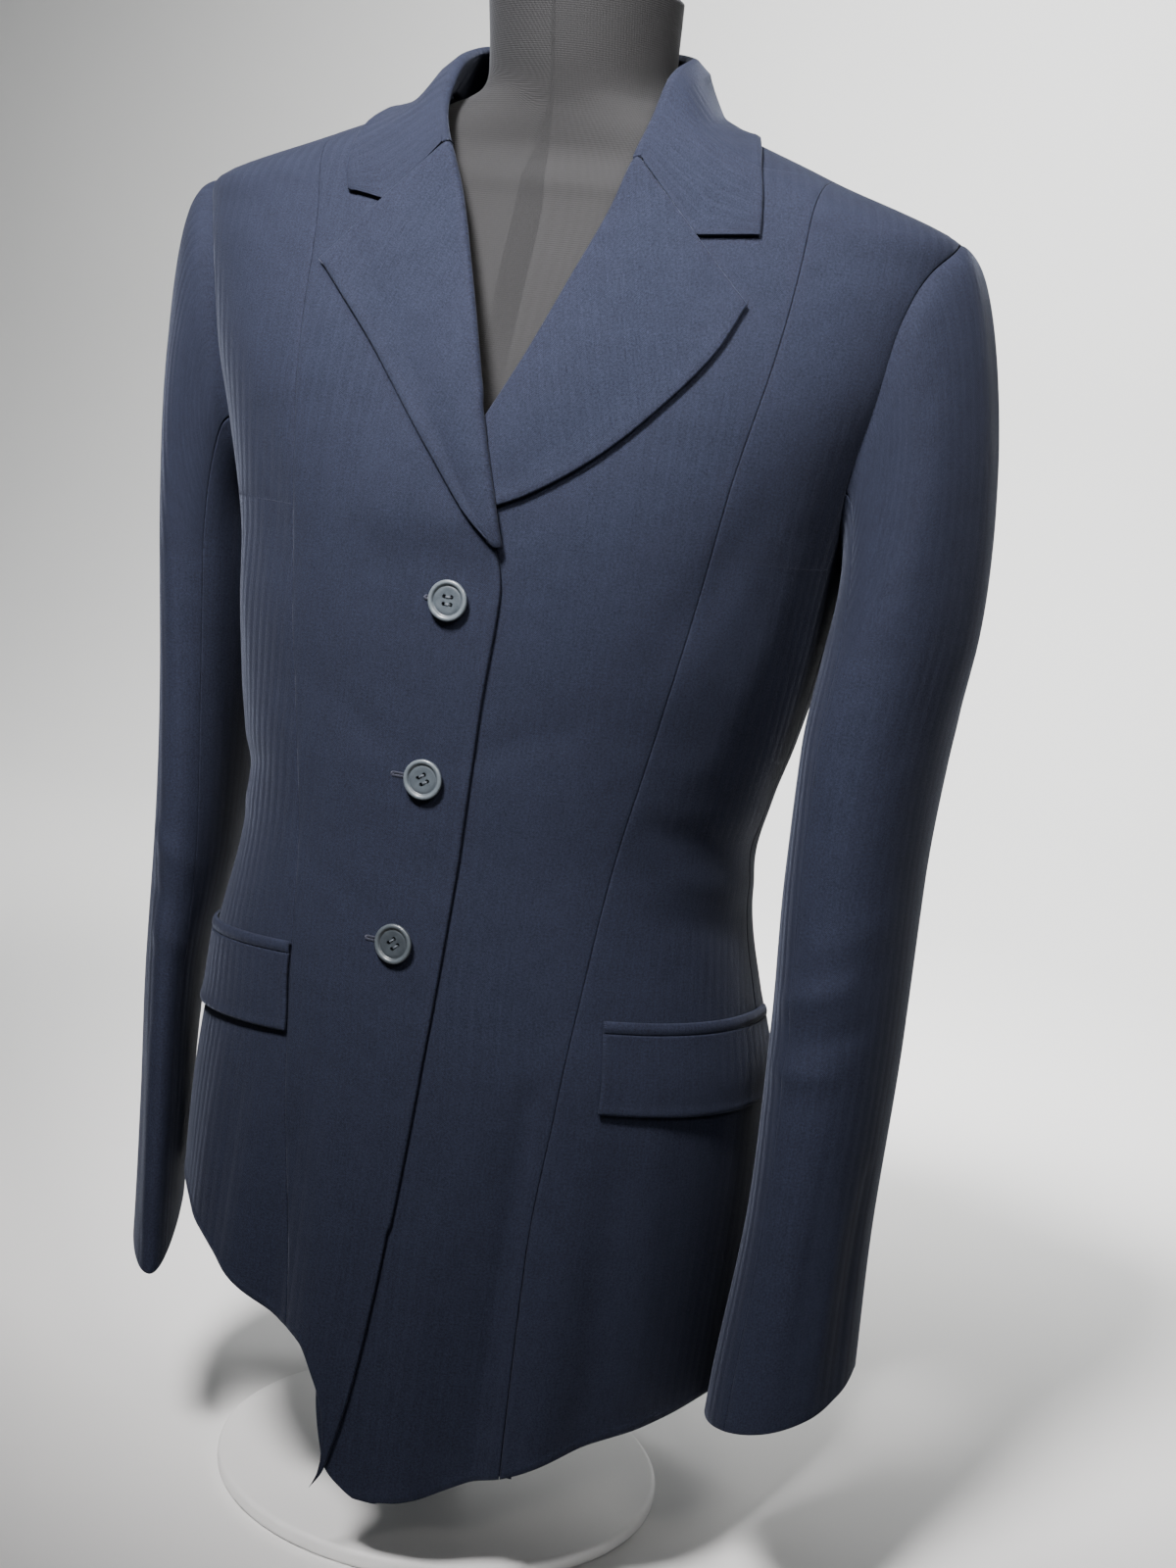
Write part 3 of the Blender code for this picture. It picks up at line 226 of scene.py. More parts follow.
# Lapels and collar, outward from the centre line on the wearer's own side
LAPEL_EDGE_COLUMNS = ("share", "out", "height")
LAPEL_EDGE_ROWS = {
    "right": (
        (0.00, -0.017, 0.555),
        (0.20, -0.001, 0.569),
        (0.42, 0.022, 0.595),
        (0.65, 0.049, 0.624),
        (0.85, 0.076, 0.653),
        (1.00, 0.111, 0.686),
    ),
    "left": (
        (0.00, 0.003, 0.567),
        (0.20, 0.032, 0.580),
        (0.42, 0.064, 0.603),
        (0.65, 0.092, 0.633),
        (0.85, 0.111, 0.660),
        (1.00, 0.120, 0.684),
    ),
}
LAPEL_FOOT = {"right": 0.553, "left": 0.600}
ROLL_TURNS = {"right": (180.0, 155.0, 130.0, 105.0), "left": (215.0, 180.0, 140.0, 105.0)}
GORGE_TOP = {"right": (0.057, 0.753), "left": (0.049, 0.753)}
NOTCH_ON_GORGE = {"right": 0.49, "left": 0.54}
COLLAR_CORNER = {"right": (0.107, 0.7255), "left": (0.119, 0.720)}

# The dress form, drawn in from the coat's inner surface, with its neck above
FORM_COLUMNS = ("height", "half_width", "front", "back", "roundness", "middle")
FORM_ROWS = (
    (0.140, 0.120, 0.098, 0.092, 2.2, 0.000),
    (0.160, 0.142, 0.112, 0.106, 2.2, 0.000),
    (0.220, 0.150, 0.118, 0.110, 2.2, 0.000),
    (0.280, 0.146, 0.117, 0.104, 2.2, 0.000),
    (0.340, 0.132, 0.114, 0.092, 2.2, 0.000),
    (0.395, 0.122, 0.109, 0.084, 2.2, 0.000),
    (0.460, 0.134, 0.109, 0.087, 2.2, 0.000),
    (0.550, 0.150, 0.108, 0.097, 2.3, 0.000),
    (0.620, 0.160, 0.098, 0.098, 2.5, 0.000),
    (0.690, 0.172, 0.072, 0.088, 2.6, -0.0015),
    (0.731, 0.181, 0.056, 0.074, 2.5, -0.003),
    (0.742, 0.1750, 0.053, 0.069, 2.4, -0.0050),
    (0.753, 0.1500, 0.046, 0.060, 2.3, -0.0070),
    (0.763, 0.1242, 0.044, 0.055, 2.2, -0.0075),
    (0.772, 0.1000, 0.044, 0.050, 2.1, -0.0080),
    (0.780, 0.0780, 0.044, 0.046, 2.0, -0.0080),
    (0.790, 0.0560, 0.045, 0.043, 2.0, -0.0080),
    (0.805, 0.0515, 0.047, 0.042, 2.0, -0.009),
    (0.845, 0.0535, 0.050, 0.045, 2.0, -0.012),
)

# Armhole, feet of the panels, sleeve caps and neck
ARMHOLE_SQUARENESS = 2.5
PANEL_FOOT = 0.10
CAP_AT_ARMPIT = (0.25, 0.15, 0.90, 0.60)
CAP_CHANGE = {"left": (0.10, 0.26, -0.22, -0.26), "right": (0.35, 0.58, -0.60, -0.20)}
HEM_FOOT = {"front_right": 0.047, "front_left": 0.046}
NECK_POINT = 0.785
NECK_BACK_DROP = 0.011

# Pocket flaps and their welts: start, top, rise and width of each flap
FLAP_ROWS = {"right": (0.071, 0.326, -0.014, 0.041), "left": (0.098, 0.313, -0.005, 0.041)}

# Collar
FOLD_COLUMNS = ("share", "out", "depth", "height")
FOLD_ROWS = (
    (0.00, 0.053, -0.064, 0.753),
    (0.12, 0.060, -0.051, 0.777),
    (0.26, 0.061, -0.034, 0.800),
    (0.42, 0.0605, -0.008, 0.812),
    (0.60, 0.0525, 0.024, 0.820),
    (0.80, 0.030, 0.047, 0.826),
    (1.00, 0.000, 0.054, 0.827),
)

EDGE_OF_FALL_COLUMNS = ("share", "out", "depth", "height")
EDGE_OF_FALL_ROWS = {
    "left": (
        (0.00, 0.121, -0.070, 0.7220),
        (0.12, 0.120, -0.061, 0.7410),
        (0.26, 0.112, -0.037, 0.7620),
        (0.42, 0.097, 0.005, 0.7715),
        (0.60, 0.083, 0.055, 0.7640),
        (0.80, 0.044, 0.082, 0.7480),
        (1.00, 0.000, 0.088, 0.7430),
    ),
    "right": (
        (0.00, 0.105, -0.072, 0.7250),
        (0.12, 0.106, -0.063, 0.7425),
        (0.26, 0.102, -0.038, 0.7650),
        (0.42, 0.093, 0.005, 0.7750),
        (0.60, 0.081, 0.055, 0.7640),
        (0.80, 0.044, 0.082, 0.7480),
        (1.00, 0.000, 0.088, 0.7430),
    ),
}

CURL_RADIUS = LAYER + 2 * SEAM_GAP
STAND_TURN = 225.0
SEAM_FRONT_PART = 0.42
SEAM_EASE = 2.6
FRONT_BLEND = 0.15
PUSH_EASE = 0.0012
PUSH_ROUNDS = 12
PUSH_SHARE = 0.8
PUSH_TOLERANCE = 0.0001
FALL_START_OUT = 0.008
FALL_START_DROP = 0.006
FALL_SAG = 0.006
SAG_GROWS = (0.08, 0.26)
GORGE_START_OUT = 0.0020
GORGE_START_DROP = 0.0010
CURL_PROBE = 0.002
NOTCH_SHARE = 0.60
COLLAR_GAP = 0.0006


def curve(t, start, leave, end, arrive):
    """A smooth run from start to end that leaves and arrives along the given ways."""
    return (
        (2 * t**3 - 3 * t**2 + 1) * start
        + (t**3 - 2 * t**2 + t) * leave
        + (3 * t**2 - 2 * t**3) * end
        + (t**3 - t**2) * arrive
    )


class Table:
    """Rows with named columns, read between rows along a curve with no overshoot."""

    def __init__(self, columns, rows):
        self.columns = columns
        self.data = np.array(rows, dtype=float)
        self.key = self.data[:, 0]
        steps = np.diff(self.key)[:, None]
        slopes = np.diff(self.data, axis=0) / steps
        self.tangents = np.vstack([slopes[:1], (slopes[1:] + slopes[:-1]) / 2, slopes[-1:]])
        turning = slopes[1:] * slopes[:-1] <= 0
        self.tangents[1:-1][turning] = 0.0
        limit = 3 * np.minimum(np.abs(slopes[1:]), np.abs(slopes[:-1]))
        self.tangents[1:-1] = np.clip(self.tangents[1:-1], -limit, limit)

    def at(self, key, *names):
        key = np.clip(np.asarray(key, dtype=float), self.key[0], self.key[-1])
        row = np.clip(np.searchsorted(self.key, key, side="right") - 1, 0, len(self.key) - 2)
        step = (self.key[row + 1] - self.key[row])[..., None]
        t = (key - self.key[row])[..., None] / step
        low, high = self.data[row], self.data[row + 1]
        value = curve(t, low, step * self.tangents[row], high, step * self.tangents[row + 1])
        found = [value[..., self.columns.index(name)] for name in names]
        return found[0] if len(found) == 1 else found


SIGN = {"left": 1.0, "right": -1.0}
BODY = Table(BODY_COLUMNS, BODY_ROWS)
SHOULDER = Table(BODY_COLUMNS, SHOULDER_ROWS)
EDGE = Table(EDGE_COLUMNS, EDGE_ROWS)
PRINCESS = Table(PRINCESS_COLUMNS, PRINCESS_ROWS)
HEM = Table(HEM_COLUMNS, HEM_ROWS)
CUFF = Table(CUFF_COLUMNS, CUFF_ROWS)
FORM = Table(FORM_COLUMNS, FORM_ROWS)
FOLD = Table(FOLD_COLUMNS, FOLD_ROWS)
SLEEVE = {side: Table(SLEEVE_COLUMNS, rows) for side, rows in SLEEVE_ROWS.items()}
LAPEL_EDGE = {side: Table(LAPEL_EDGE_COLUMNS, rows) for side, rows in LAPEL_EDGE_ROWS.items()}
EDGE_OF_FALL = {side: Table(EDGE_OF_FALL_COLUMNS, rows) for side, rows in EDGE_OF_FALL_ROWS.items()}

# Soft creases of the body: side, then from (along, height) to (along, height), breadth and depth
BODY_CREASES = (
    (1, 0.150, 0.585, 0.105, 0.500, 0.013, -0.0016),
    (1, 0.178, 0.560, 0.150, 0.455, 0.012, 0.0014),
    (1, 0.120, 0.418, 0.215, 0.405, 0.009, -0.0016),
    (1, 0.140, 0.392, 0.235, 0.380, 0.008, 0.0012),
    (1, 0.128, 0.372, 0.200, 0.358, 0.009, -0.0011),
    (1, 0.020, 0.446, 0.066, 0.462, 0.008, -0.0008),
    (1, 0.070, 0.276, 0.069, 0.060, 0.0065, -0.0024),
    (1, 0.026, 0.200, 0.032, 0.060, 0.011, 0.0014),
    (1, 0.043, 0.180, 0.047, 0.062, 0.008, -0.0010),
    (1, 0.140, 0.260, 0.150, 0.095, 0.013, 0.0016),
    (1, 0.118, 0.235, 0.122, 0.085, 0.009, -0.0012),
    (1, 0.060, 0.720, 0.125, 0.640, 0.016, 0.0010),
    (-1, 0.135, 0.600, 0.105, 0.520, 0.013, -0.0016),
    (-1, 0.160, 0.560, 0.140, 0.470, 0.011, 0.0013),
    (-1, 0.115, 0.420, 0.205, 0.408, 0.009, -0.0016),
    (-1, 0.130, 0.396, 0.225, 0.383, 0.008, 0.0012),
    (-1, 0.006, 0.443, 0.050, 0.458, 0.008, -0.0007),
    (-1, 0.008, 0.352, 0.052, 0.372, 0.008, -0.0007),
    (-1, 0.030, 0.250, 0.024, 0.100, 0.012, 0.0014),
    (-1, 0.118, 0.260, 0.128, 0.125, 0.011, 0.0015),
    (-1, 0.098, 0.240, 0.100, 0.130, 0.008, -0.0012),
    (-1, 0.070, 0.700, 0.110, 0.620, 0.015, 0.0010),
    (1, 0.340, 0.412, 0.455, 0.424, 0.009, -0.0020),
    (1, 0.360, 0.386, 0.470, 0.395, 0.008, 0.0014),
    (1, 0.325, 0.440, 0.430, 0.452, 0.010, 0.0012),
    (1, 0.335, 0.655, 0.345, 0.545, 0.014, 0.0018),
    (1, 0.372, 0.640, 0.365, 0.560, 0.011, -0.0012),
    (1, 0.300, 0.240, 0.315, 0.130, 0.012, -0.0014),
    (1, 0.430, 0.240, 0.440, 0.130, 0.010, 0.0012),
    (-1, 0.345, 0.408, 0.465, 0.418, 0.009, -0.0019),
    (-1, 0.330, 0.384, 0.440, 0.392, 0.008, 0.0013),
    (-1, 0.350, 0.436, 0.450, 0.446, 0.010, 0.0011),
    (-1, 0.330, 0.645, 0.338, 0.540, 0.014, 0.0017),
    (-1, 0.366, 0.650, 0.372, 0.565, 0.011, -0.0011),
    (-1, 0.310, 0.235, 0.300, 0.150, 0.012, 0.0013),
    (-1, 0.420, 0.250, 0.415, 0.130, 0.011, -0.0013),
)

# Soft creases of the sleeves: from (angle, height) to (angle, height), breadth and depth
SLEEVE_CREASES = {
    "left": (
        (70.0, 0.352, 130.0, 0.336, 0.0070, -0.0018),
        (55.0, 0.330, 118.0, 0.318, 0.0080, 0.0014),
        (75.0, 0.306, 135.0, 0.300, 0.0065, -0.0015),
        (40.0, 0.385, 100.0, 0.368, 0.0100, -0.0010),
        (250.0, 0.345, 300.0, 0.372, 0.0100, -0.0014),
        (235.0, 0.318, 290.0, 0.332, 0.0090, 0.0012),
        (330.0, 0.610, 345.0, 0.500, 0.0120, 0.0012),
        (50.0, 0.640, 78.0, 0.540, 0.0110, -0.0014),
        (28.0, 0.600, 48.0, 0.480, 0.0120, 0.0010),
        (25.0, 0.250, 32.0, 0.135, 0.0070, 0.0014),
        (48.0, 0.230, 52.0, 0.130, 0.0060, -0.0012),
        (70.0, 0.260, 72.0, 0.140, 0.0070, 0.0010),
        (300.0, 0.240, 310.0, 0.150, 0.0080, -0.0012),
    ),
    "right": (
        (60.0, 0.362, 112.0, 0.346, 0.0075, -0.0016),
        (52.0, 0.334, 104.0, 0.322, 0.0075, 0.0013),
        (64.0, 0.308, 118.0, 0.300, 0.0065, -0.0013),
        (250.0, 0.350, 296.0, 0.372, 0.0090, -0.0013),
        (60.0, 0.630, 82.0, 0.540, 0.0110, -0.0013),
        (330.0, 0.600, 340.0, 0.490, 0.0110, 0.0011),
        (40.0, 0.250, 46.0, 0.150, 0.0080, 0.0010),
        (66.0, 0.245, 68.0, 0.140, 0.0070, -0.0009),
        (285.0, 0.240, 292.0, 0.160, 0.0080, -0.0010),
    ),
}

# How deep a crease still is at its ends, and the height below which a flare is full
CREASE_ENDS = 0.55
FLARE_FULL = 0.08


def smooth(low, high, value):
    t = np.clip((value - low) / (high - low), 0.0, 1.0)
    return t * t * (3 - 2 * t)


def unit(vector):
    return vector / np.maximum(np.linalg.norm(vector, axis=-1, keepdims=True), 1e-12)


LEVEL_STEP = 0.0005
LEVELS = np.arange(0.015, 0.835, LEVEL_STEP)
KERNEL_REACH = 0.016
EASE_REACH = 0.0045
EASE_BREADTH = 0.016


def eased_sections():
    """The two tables as one, with the bend at the shoulder tips eased."""
    names = BODY_COLUMNS[1:]
    below, above = (np.array(table.at(LEVELS, *names)) for table in (BODY, SHOULDER))
    rows = np.where(LEVELS > ARMHOLE_TOP, above, below)
    reach = np.arange(-KERNEL_REACH, KERNEL_REACH + LEVEL_STEP / 5, LEVEL_STEP)
    kernel = np.exp(-((reach / EASE_REACH) ** 2) / 2)
    kernel /= kernel.sum()
    padded = [np.pad(row, len(reach) // 2, mode="edge") for row in rows]
    eased_rows = np.array([np.convolve(row, kernel, "valid") for row in padded])
    share = np.exp(-(((LEVELS - ARMHOLE_TOP) / EASE_BREADTH) ** 4))
    return rows + (eased_rows - rows) * share


SECTIONS = eased_sections()


def section(height):
    """Half width, front depth, back depth, roundness and middle of the coat at each height."""
    return [np.interp(height, LEVELS, row) for row in SECTIONS]


# Level rings sampled once, so that any point of the cloth is a look-up
TURN_COUNT = 721
TURNS = np.linspace(0.0, math.pi, TURN_COUNT)
ALONG_STEP = 0.001
LONGEST_HALF_RING = 0.560


def ring_tables():
    half_width, front, back, roundness, _ = section(LEVELS)
    sine, cosine = np.sin(TURNS), np.cos(TURNS)
    power = (2 / roundness)[:, None]
    x = half_width[:, None] * np.abs(sine) ** power
    depth = np.where(cosine > 0, front[:, None], back[:, None])
    y = -np.sign(cosine) * depth * np.abs(cosine) ** power
    length = np.zeros_like(x)
    length[:, 1:] = np.cumsum(np.hypot(np.diff(x, axis=1), np.diff(y, axis=1)), axis=1)
    even = np.arange(0.0, LONGEST_HALF_RING, ALONG_STEP)
    even_x = np.array([np.interp(even, stop, value) for stop, value in zip(length, x)])
    even_y = np.array([np.interp(even, stop, value) for stop, value in zip(length, y)])
    return length, even_x, even_y


LENGTHS, RING_X, RING_Y = ring_tables()


def look_up(table, height, column):
    row = np.clip((height - LEVELS[0]) / LEVEL_STEP, 0, len(LEVELS) - 1.001)
    column = np.clip(column, 0, table.shape[1] - 1.001)
    j, i = row.astype(int), column.astype(int)
    v, u = row - j, column - i
    low = table[j, i] * (1 - u) + table[j, i + 1] * u
    high = table[j + 1, i] * (1 - u) + table[j + 1, i + 1] * u
    return low * (1 - v) + high * v


def along_at_turn(height, turn):
    return look_up(LENGTHS, np.asarray(height, dtype=float), turn / math.pi * (TURN_COUNT - 1))


def along_side(height):
    return along_at_turn(height, np.full(np.shape(height), math.pi / 2))


def along_back(height):
    return along_at_turn(height, np.full(np.shape(height), math.pi))


def along_at_depth(height, y):
    _, front, back, roundness, _ = section(height)
    share = np.clip(np.abs(y) / np.where(y < 0, front, back), 0.0, 1.0)
    turn = np.arccos(share ** (roundness / 2))
    return along_at_turn(height, np.where(y < 0, turn, math.pi - turn))


def along_at_out(height, out, side):
    """Length along the cloth from the ring's front to a place on the front, given from x = 0."""
    half_width, _, _, roundness, middle = section(height)
    out = out - SIGN[side] * middle
    share = np.clip(np.abs(out) / half_width, 0.0, 1.0)
    return np.copysign(along_at_turn(height, np.arcsin(share ** (roundness / 2))), out)


def segment_swell(u, v, rows):
    """Sum of soft ridges and troughs, each round a line from one place to another."""
    total = 0.0
    for from_u, from_v, to_u, to_v, breadth, depth in rows:
        du, dv = to_u - from_u, to_v - from_v
        t = np.clip(((u - from_u) * du + (v - from_v) * dv) / (du * du + dv * dv), 0.0, 1.0)
        distance = np.hypot(u - from_u - t * du, v - from_v - t * dv)
        fading = CREASE_ENDS + (1 - CREASE_ENDS) * np.sin(math.pi * t)
        total = total + depth * np.exp(-((distance / breadth) ** 2)) * fading
    return total


SIGNED_CREASES = [(s * a, b, s * c, d, e, f) for s, a, b, c, d, e, f in BODY_CREASES]


def folds(height, along, side):
    """How far the skirt's flares and the creases stand out of the plain surface."""
    place = along * side
    total = segment_swell(place, height, SIGNED_CREASES)
    for flare_side, centre, fades_at, breadth, depth in FLARES:
        reach = smooth(fades_at, FLARE_FULL, height)
        total = total + depth * reach * np.exp(-(((place - centre * flare_side) / breadth) ** 2))
    return total


def ring_size(x, y, height):
    half_width, front, back, roundness, middle = section(height)
    depth = np.where(y < 0, front, back)
    wide = np.abs((x - middle) / half_width) ** roundness
    return (wide + np.abs(y / depth) ** roundness) ** (1 / roundness)


def normal_at(height, x, y):
    step = 1e-4
    return unit(np.stack([
        ring_size(x + step, y, height) - ring_size(x - step, y, height),
        ring_size(x, y + step, height) - ring_size(x, y - step, height),
        ring_size(x, y, height + step) - ring_size(x, y, height - step),
    ], axis=-1))


def body_point(height, along, side, lift=0.0):
    """Points of the coat at heights and lengths along the cloth, on one side of the front."""
    given = [np.asarray(v, dtype=float) for v in (height, along, lift)]
    height, along, lift = np.broadcast_arrays(*given)
    reach = np.abs(along) / ALONG_STEP
    middle = section(height)[4]
    x = look_up(RING_X, height, reach) * np.where(along < 0, -side, side) + middle
    y = look_up(RING_Y, height, reach)
    out = normal_at(height, x, y)
    point = np.stack([x, y, height], axis=-1)
    return point + out * (lift + folds(height, along, side))[..., None], out


def front_lift(side, height, out):
    """The right front rises over the left front and its lapel where they overlap."""
    if side == "left":
        return np.zeros(np.broadcast(height, out).shape)
    over_lapel = smooth(*LAPEL_CLIMB, height)
    narrow = RISE_NARROWING * smooth(*RISE_NARROWS, height)
    overlap = 1 - smooth(RISE_FULL - narrow, RISE_ENDS - narrow, out)
    return overlap * (LAYER + SEAM_GAP + over_lapel * (LAYER + LAPEL_CLEARANCE))


def layered(height, out, side, level):
    """Points that lie over the front, level above its inner face, with the right front's rise."""
    rise = front_lift(side, height, out)
    return body_point(height, along_at_out(height, out, side), SIGN[side], rise + level)


def edge_along(side, height):
    return along_at_out(height, EDGE.at(height, side), side)


def princess_along(side, height):
    half_width, _, _, _, middle = section(height)
    out = PRINCESS.at(height, side)
    past = out - SIGN[side] * middle >= half_width
    return np.where(past, along_side(height), along_at_out(height, out, side))


def armhole_share(height):
    middle = (ARMHOLE_TOP + ARMHOLE_BOTTOM) / 2
    reach = (ARMHOLE_TOP - ARMHOLE_BOTTOM) / 2
    share = np.clip(np.abs(height - middle) / reach, 0.0, 1.0)
    return np.sqrt(1 - share**ARMHOLE_SQUARENESS)


def outer_along(height, toward):
    """Where a panel ends at the side: side seam, armhole, or shoulder seam."""
    depth = ARMHOLE_BACK if toward > 0 else ARMHOLE_FRONT
    armhole = along_at_depth(height, toward * depth * armhole_share(height))
    inside = (height > ARMHOLE_BOTTOM) & (height < ARMHOLE_TOP)
    return np.where(inside, armhole, along_side(height))


# Meshes: rims of the cloth, and the ridges and dips beside them
SEAM_RIM = 0.00036
SEAM_CLOSE = 0.00008
FREE_RIM = 0.0010
EDGE_STEPS = np.array([0.0, 0.0006, 0.0014, 0.0026, 0.0045])
RIM_TURNS = (50.0, 0.0, -50.0)
ROLL_OF_EDGE = 0.00035
RIDGE_AT = 0.0024
RIDGE_BREADTH = 0.0016
SEAM_DIP = 0.00022
DIP_BREADTH = 0.0014
NARROW_PIECE = 0.030


def spread(width, count, start, end):
    """Places across a width, closer together near both edges, that start and end clear of them."""
    width = np.atleast_1d(width)[:, None]
    scale = np.clip(width / NARROW_PIECE, 0.0, 1.0)
    low = (start + EDGE_STEPS) * scale
    high = width - (end + EDGE_STEPS[::-1]) * scale
    share = np.linspace(0.0, 1.0, count - 2 * len(EDGE_STEPS) + 2)[1:-1]
    return np.concatenate([low, low[:, -1:] + (high[:, :1] - low[:, -1:]) * share, high], axis=1)


def edge_relief(distance, rim):
    """A rolled ridge beside a free edge, or a shallow dip beside a seam."""
    if rim >= FREE_RIM:
        return ROLL_OF_EDGE * np.exp(-(((distance - RIDGE_AT) / RIDGE_BREADTH) ** 2))
    return -SEAM_DIP * np.exp(-((distance / DIP_BREADTH) ** 2))


def lengths_along(points, axis):
    """Running length over a grid of points, from its first row or column."""
    step = np.linalg.norm(np.diff(points, axis=axis), axis=-1)
    start = np.zeros_like(np.take(step, [0], axis=axis))
    return np.cumsum(np.concatenate([start, step], axis=axis), axis=axis)


def build_mesh(name, points, faces, uv, material):
    mesh = bpy.data.meshes.new(name)
    mesh.from_pydata(points.tolist(), [], faces)
    layer = mesh.uv_layers.new(name="UVMap")
    corners = np.empty(len(mesh.loops), dtype=np.int32)
    mesh.loops.foreach_get("vertex_index", corners)
    layer.data.foreach_set("uv", uv[corners].ravel())
    mesh.materials.append(material)
    mesh.shade_smooth()
    piece = bpy.data.objects.new(name, mesh)
    bpy.context.scene.collection.objects.link(piece)
    return piece


def grid_faces(rows, columns, offset=0):
    j, i = np.meshgrid(np.arange(rows - 1), np.arange(columns - 1), indexing="ij")
    first = (j * columns + i + offset).ravel()
    return np.stack([first, first + 1, first + columns + 1, first + columns], axis=1)


def shell(name, middle, normal, uv, rims, material, relief=0.0, thickness=WALL):
    """A closed cloth wall round a grid of points, with rounded rims on its four edges."""
    rows, columns = middle.shape[:2]
    relief = np.broadcast_to(relief, (rows, columns))[..., None]
    outer = middle + normal * (thickness / 2 + relief)
    inner = middle - normal * thickness / 2
    away = np.zeros_like(middle)
    across = np.linalg.norm(middle[:, -1] - middle[:, 0], axis=-1)
    narrow = np.clip(across / NARROW_PIECE, 0.0, 1.0)[:, None]
    away[:, 0] += unit(middle[:, 0] - middle[:, 1]) * rims[0] * narrow
    away[:, -1] += unit(middle[:, -1] - middle[:, -2]) * rims[1] * narrow
    away[0] += unit(middle[0] - middle[1]) * rims[2]
    away[-1] += unit(middle[-1] - middle[-2]) * rims[3]
    path = [(0, i) for i in range(columns)]
    path += [(j, columns - 1) for j in range(1, rows)]
    path += [(rows - 1, i) for i in range(columns - 2, -1, -1)]
    path += [(j, 0) for j in range(rows - 2, 0, -1)]
    path = np.array(path)
    along_rim = path[:, 0] * columns + path[:, 1]
    edge = [grid[path[:, 0], path[:, 1]] for grid in (outer, inner, away)]
    points = [outer.reshape(-1, 3), inner.reshape(-1, 3)]
    loops = [along_rim]
    for turn in RIM_TURNS:
        a = math.radians(turn)
        t = (1 + math.sin(a)) / 2
        loops.append(2 * rows * columns + (len(loops) - 1) * len(path) + np.arange(len(path)))
        points.append(edge[1] + (edge[0] - edge[1]) * t + edge[2] * math.cos(a))
    loops.append(along_rim + rows * columns)
    faces = [grid_faces(rows, columns), grid_faces(rows, columns, rows * columns)[:, ::-1]]
    for here, there in zip(loops, loops[1:]):
        faces.append(np.stack([here, there, np.roll(there, -1), np.roll(here, -1)], axis=1))
    points, faces = np.concatenate(points), np.concatenate(faces)
    a, b, c = (points[faces[:, k]] for k in (0, 1, 2))
    if np.einsum("ij,ij->i", a, np.cross(b, c)).sum() < 0:
        faces = faces[:, ::-1]
    flat_uv = uv.reshape(-1, 2)
    uv = np.concatenate([flat_uv, flat_uv] + [flat_uv[along_rim]] * len(RIM_TURNS))
    return build_mesh(name, points, faces.tolist(), uv, material)


def grid_normals(points):
    return unit(np.cross(np.gradient(points, axis=0), np.gradient(points, axis=1)))


def lathe(name, profile, material, centre=(0.0, 0.0, 0.0), segments=96):
    """A turned solid from a profile of (radius, height) that starts and ends on the axis."""
    angles = np.linspace(0.0, 2 * math.pi, segments, endpoint=False)
    radius, height = np.array(profile).T[..., None]
    level = np.repeat(height, segments, axis=1)
    rings = np.stack([radius * np.cos(angles), radius * np.sin(angles), level], axis=-1)
    return skin(name, rings + np.array(centre), material)


def arc(centre, reach, turns):
    """Points of a profile round a centre, as (radius, height)."""
    return [(centre[0] + reach[0] * math.cos(a), centre[1] + reach[1] * math.sin(a)) for a in turns]


def ring_faces(rows, segments):
    """Faces that join stacked rings of points."""
    faces = []
    for j in range(rows - 1):
        low, high = j * segments, (j + 1) * segments
        for i in range(segments):
            k = (i + 1) % segments
            faces.append((low + i, low + k, high + k, high + i))
    return faces


def skin(name, rings, material):
    """A closed solid over stacked rings of points, capped at both ends."""
    rows, segments = rings.shape[:2]
    points = np.concatenate([rings.reshape(-1, 3), rings[:1].mean(axis=1), rings[-1:].mean(axis=1)])
    faces = ring_faces(rows, segments)
    bottom, top = rows * segments, rows * segments + 1
    last = (rows - 1) * segments
    for i in range(segments):
        k = (i + 1) % segments
        faces.append((bottom, k, i))
        faces.append((top, last + i, last + k))
    turn = np.tile(np.linspace(0.0, 1.0, segments, endpoint=False), rows)
    radius = np.linalg.norm(rings[..., :2] - rings[..., :2].mean(axis=1, keepdims=True), axis=-1).ravel()
    uv = np.stack([turn * 2 * math.pi * np.maximum(radius, 0.001), rings[..., 2].ravel()], axis=-1)
    uv = np.concatenate([uv, [[0.0, rings[0, 0, 2]], [0.0, rings[-1, 0, 2]]]])
    return build_mesh(name, points, faces, uv, material)


# Materials


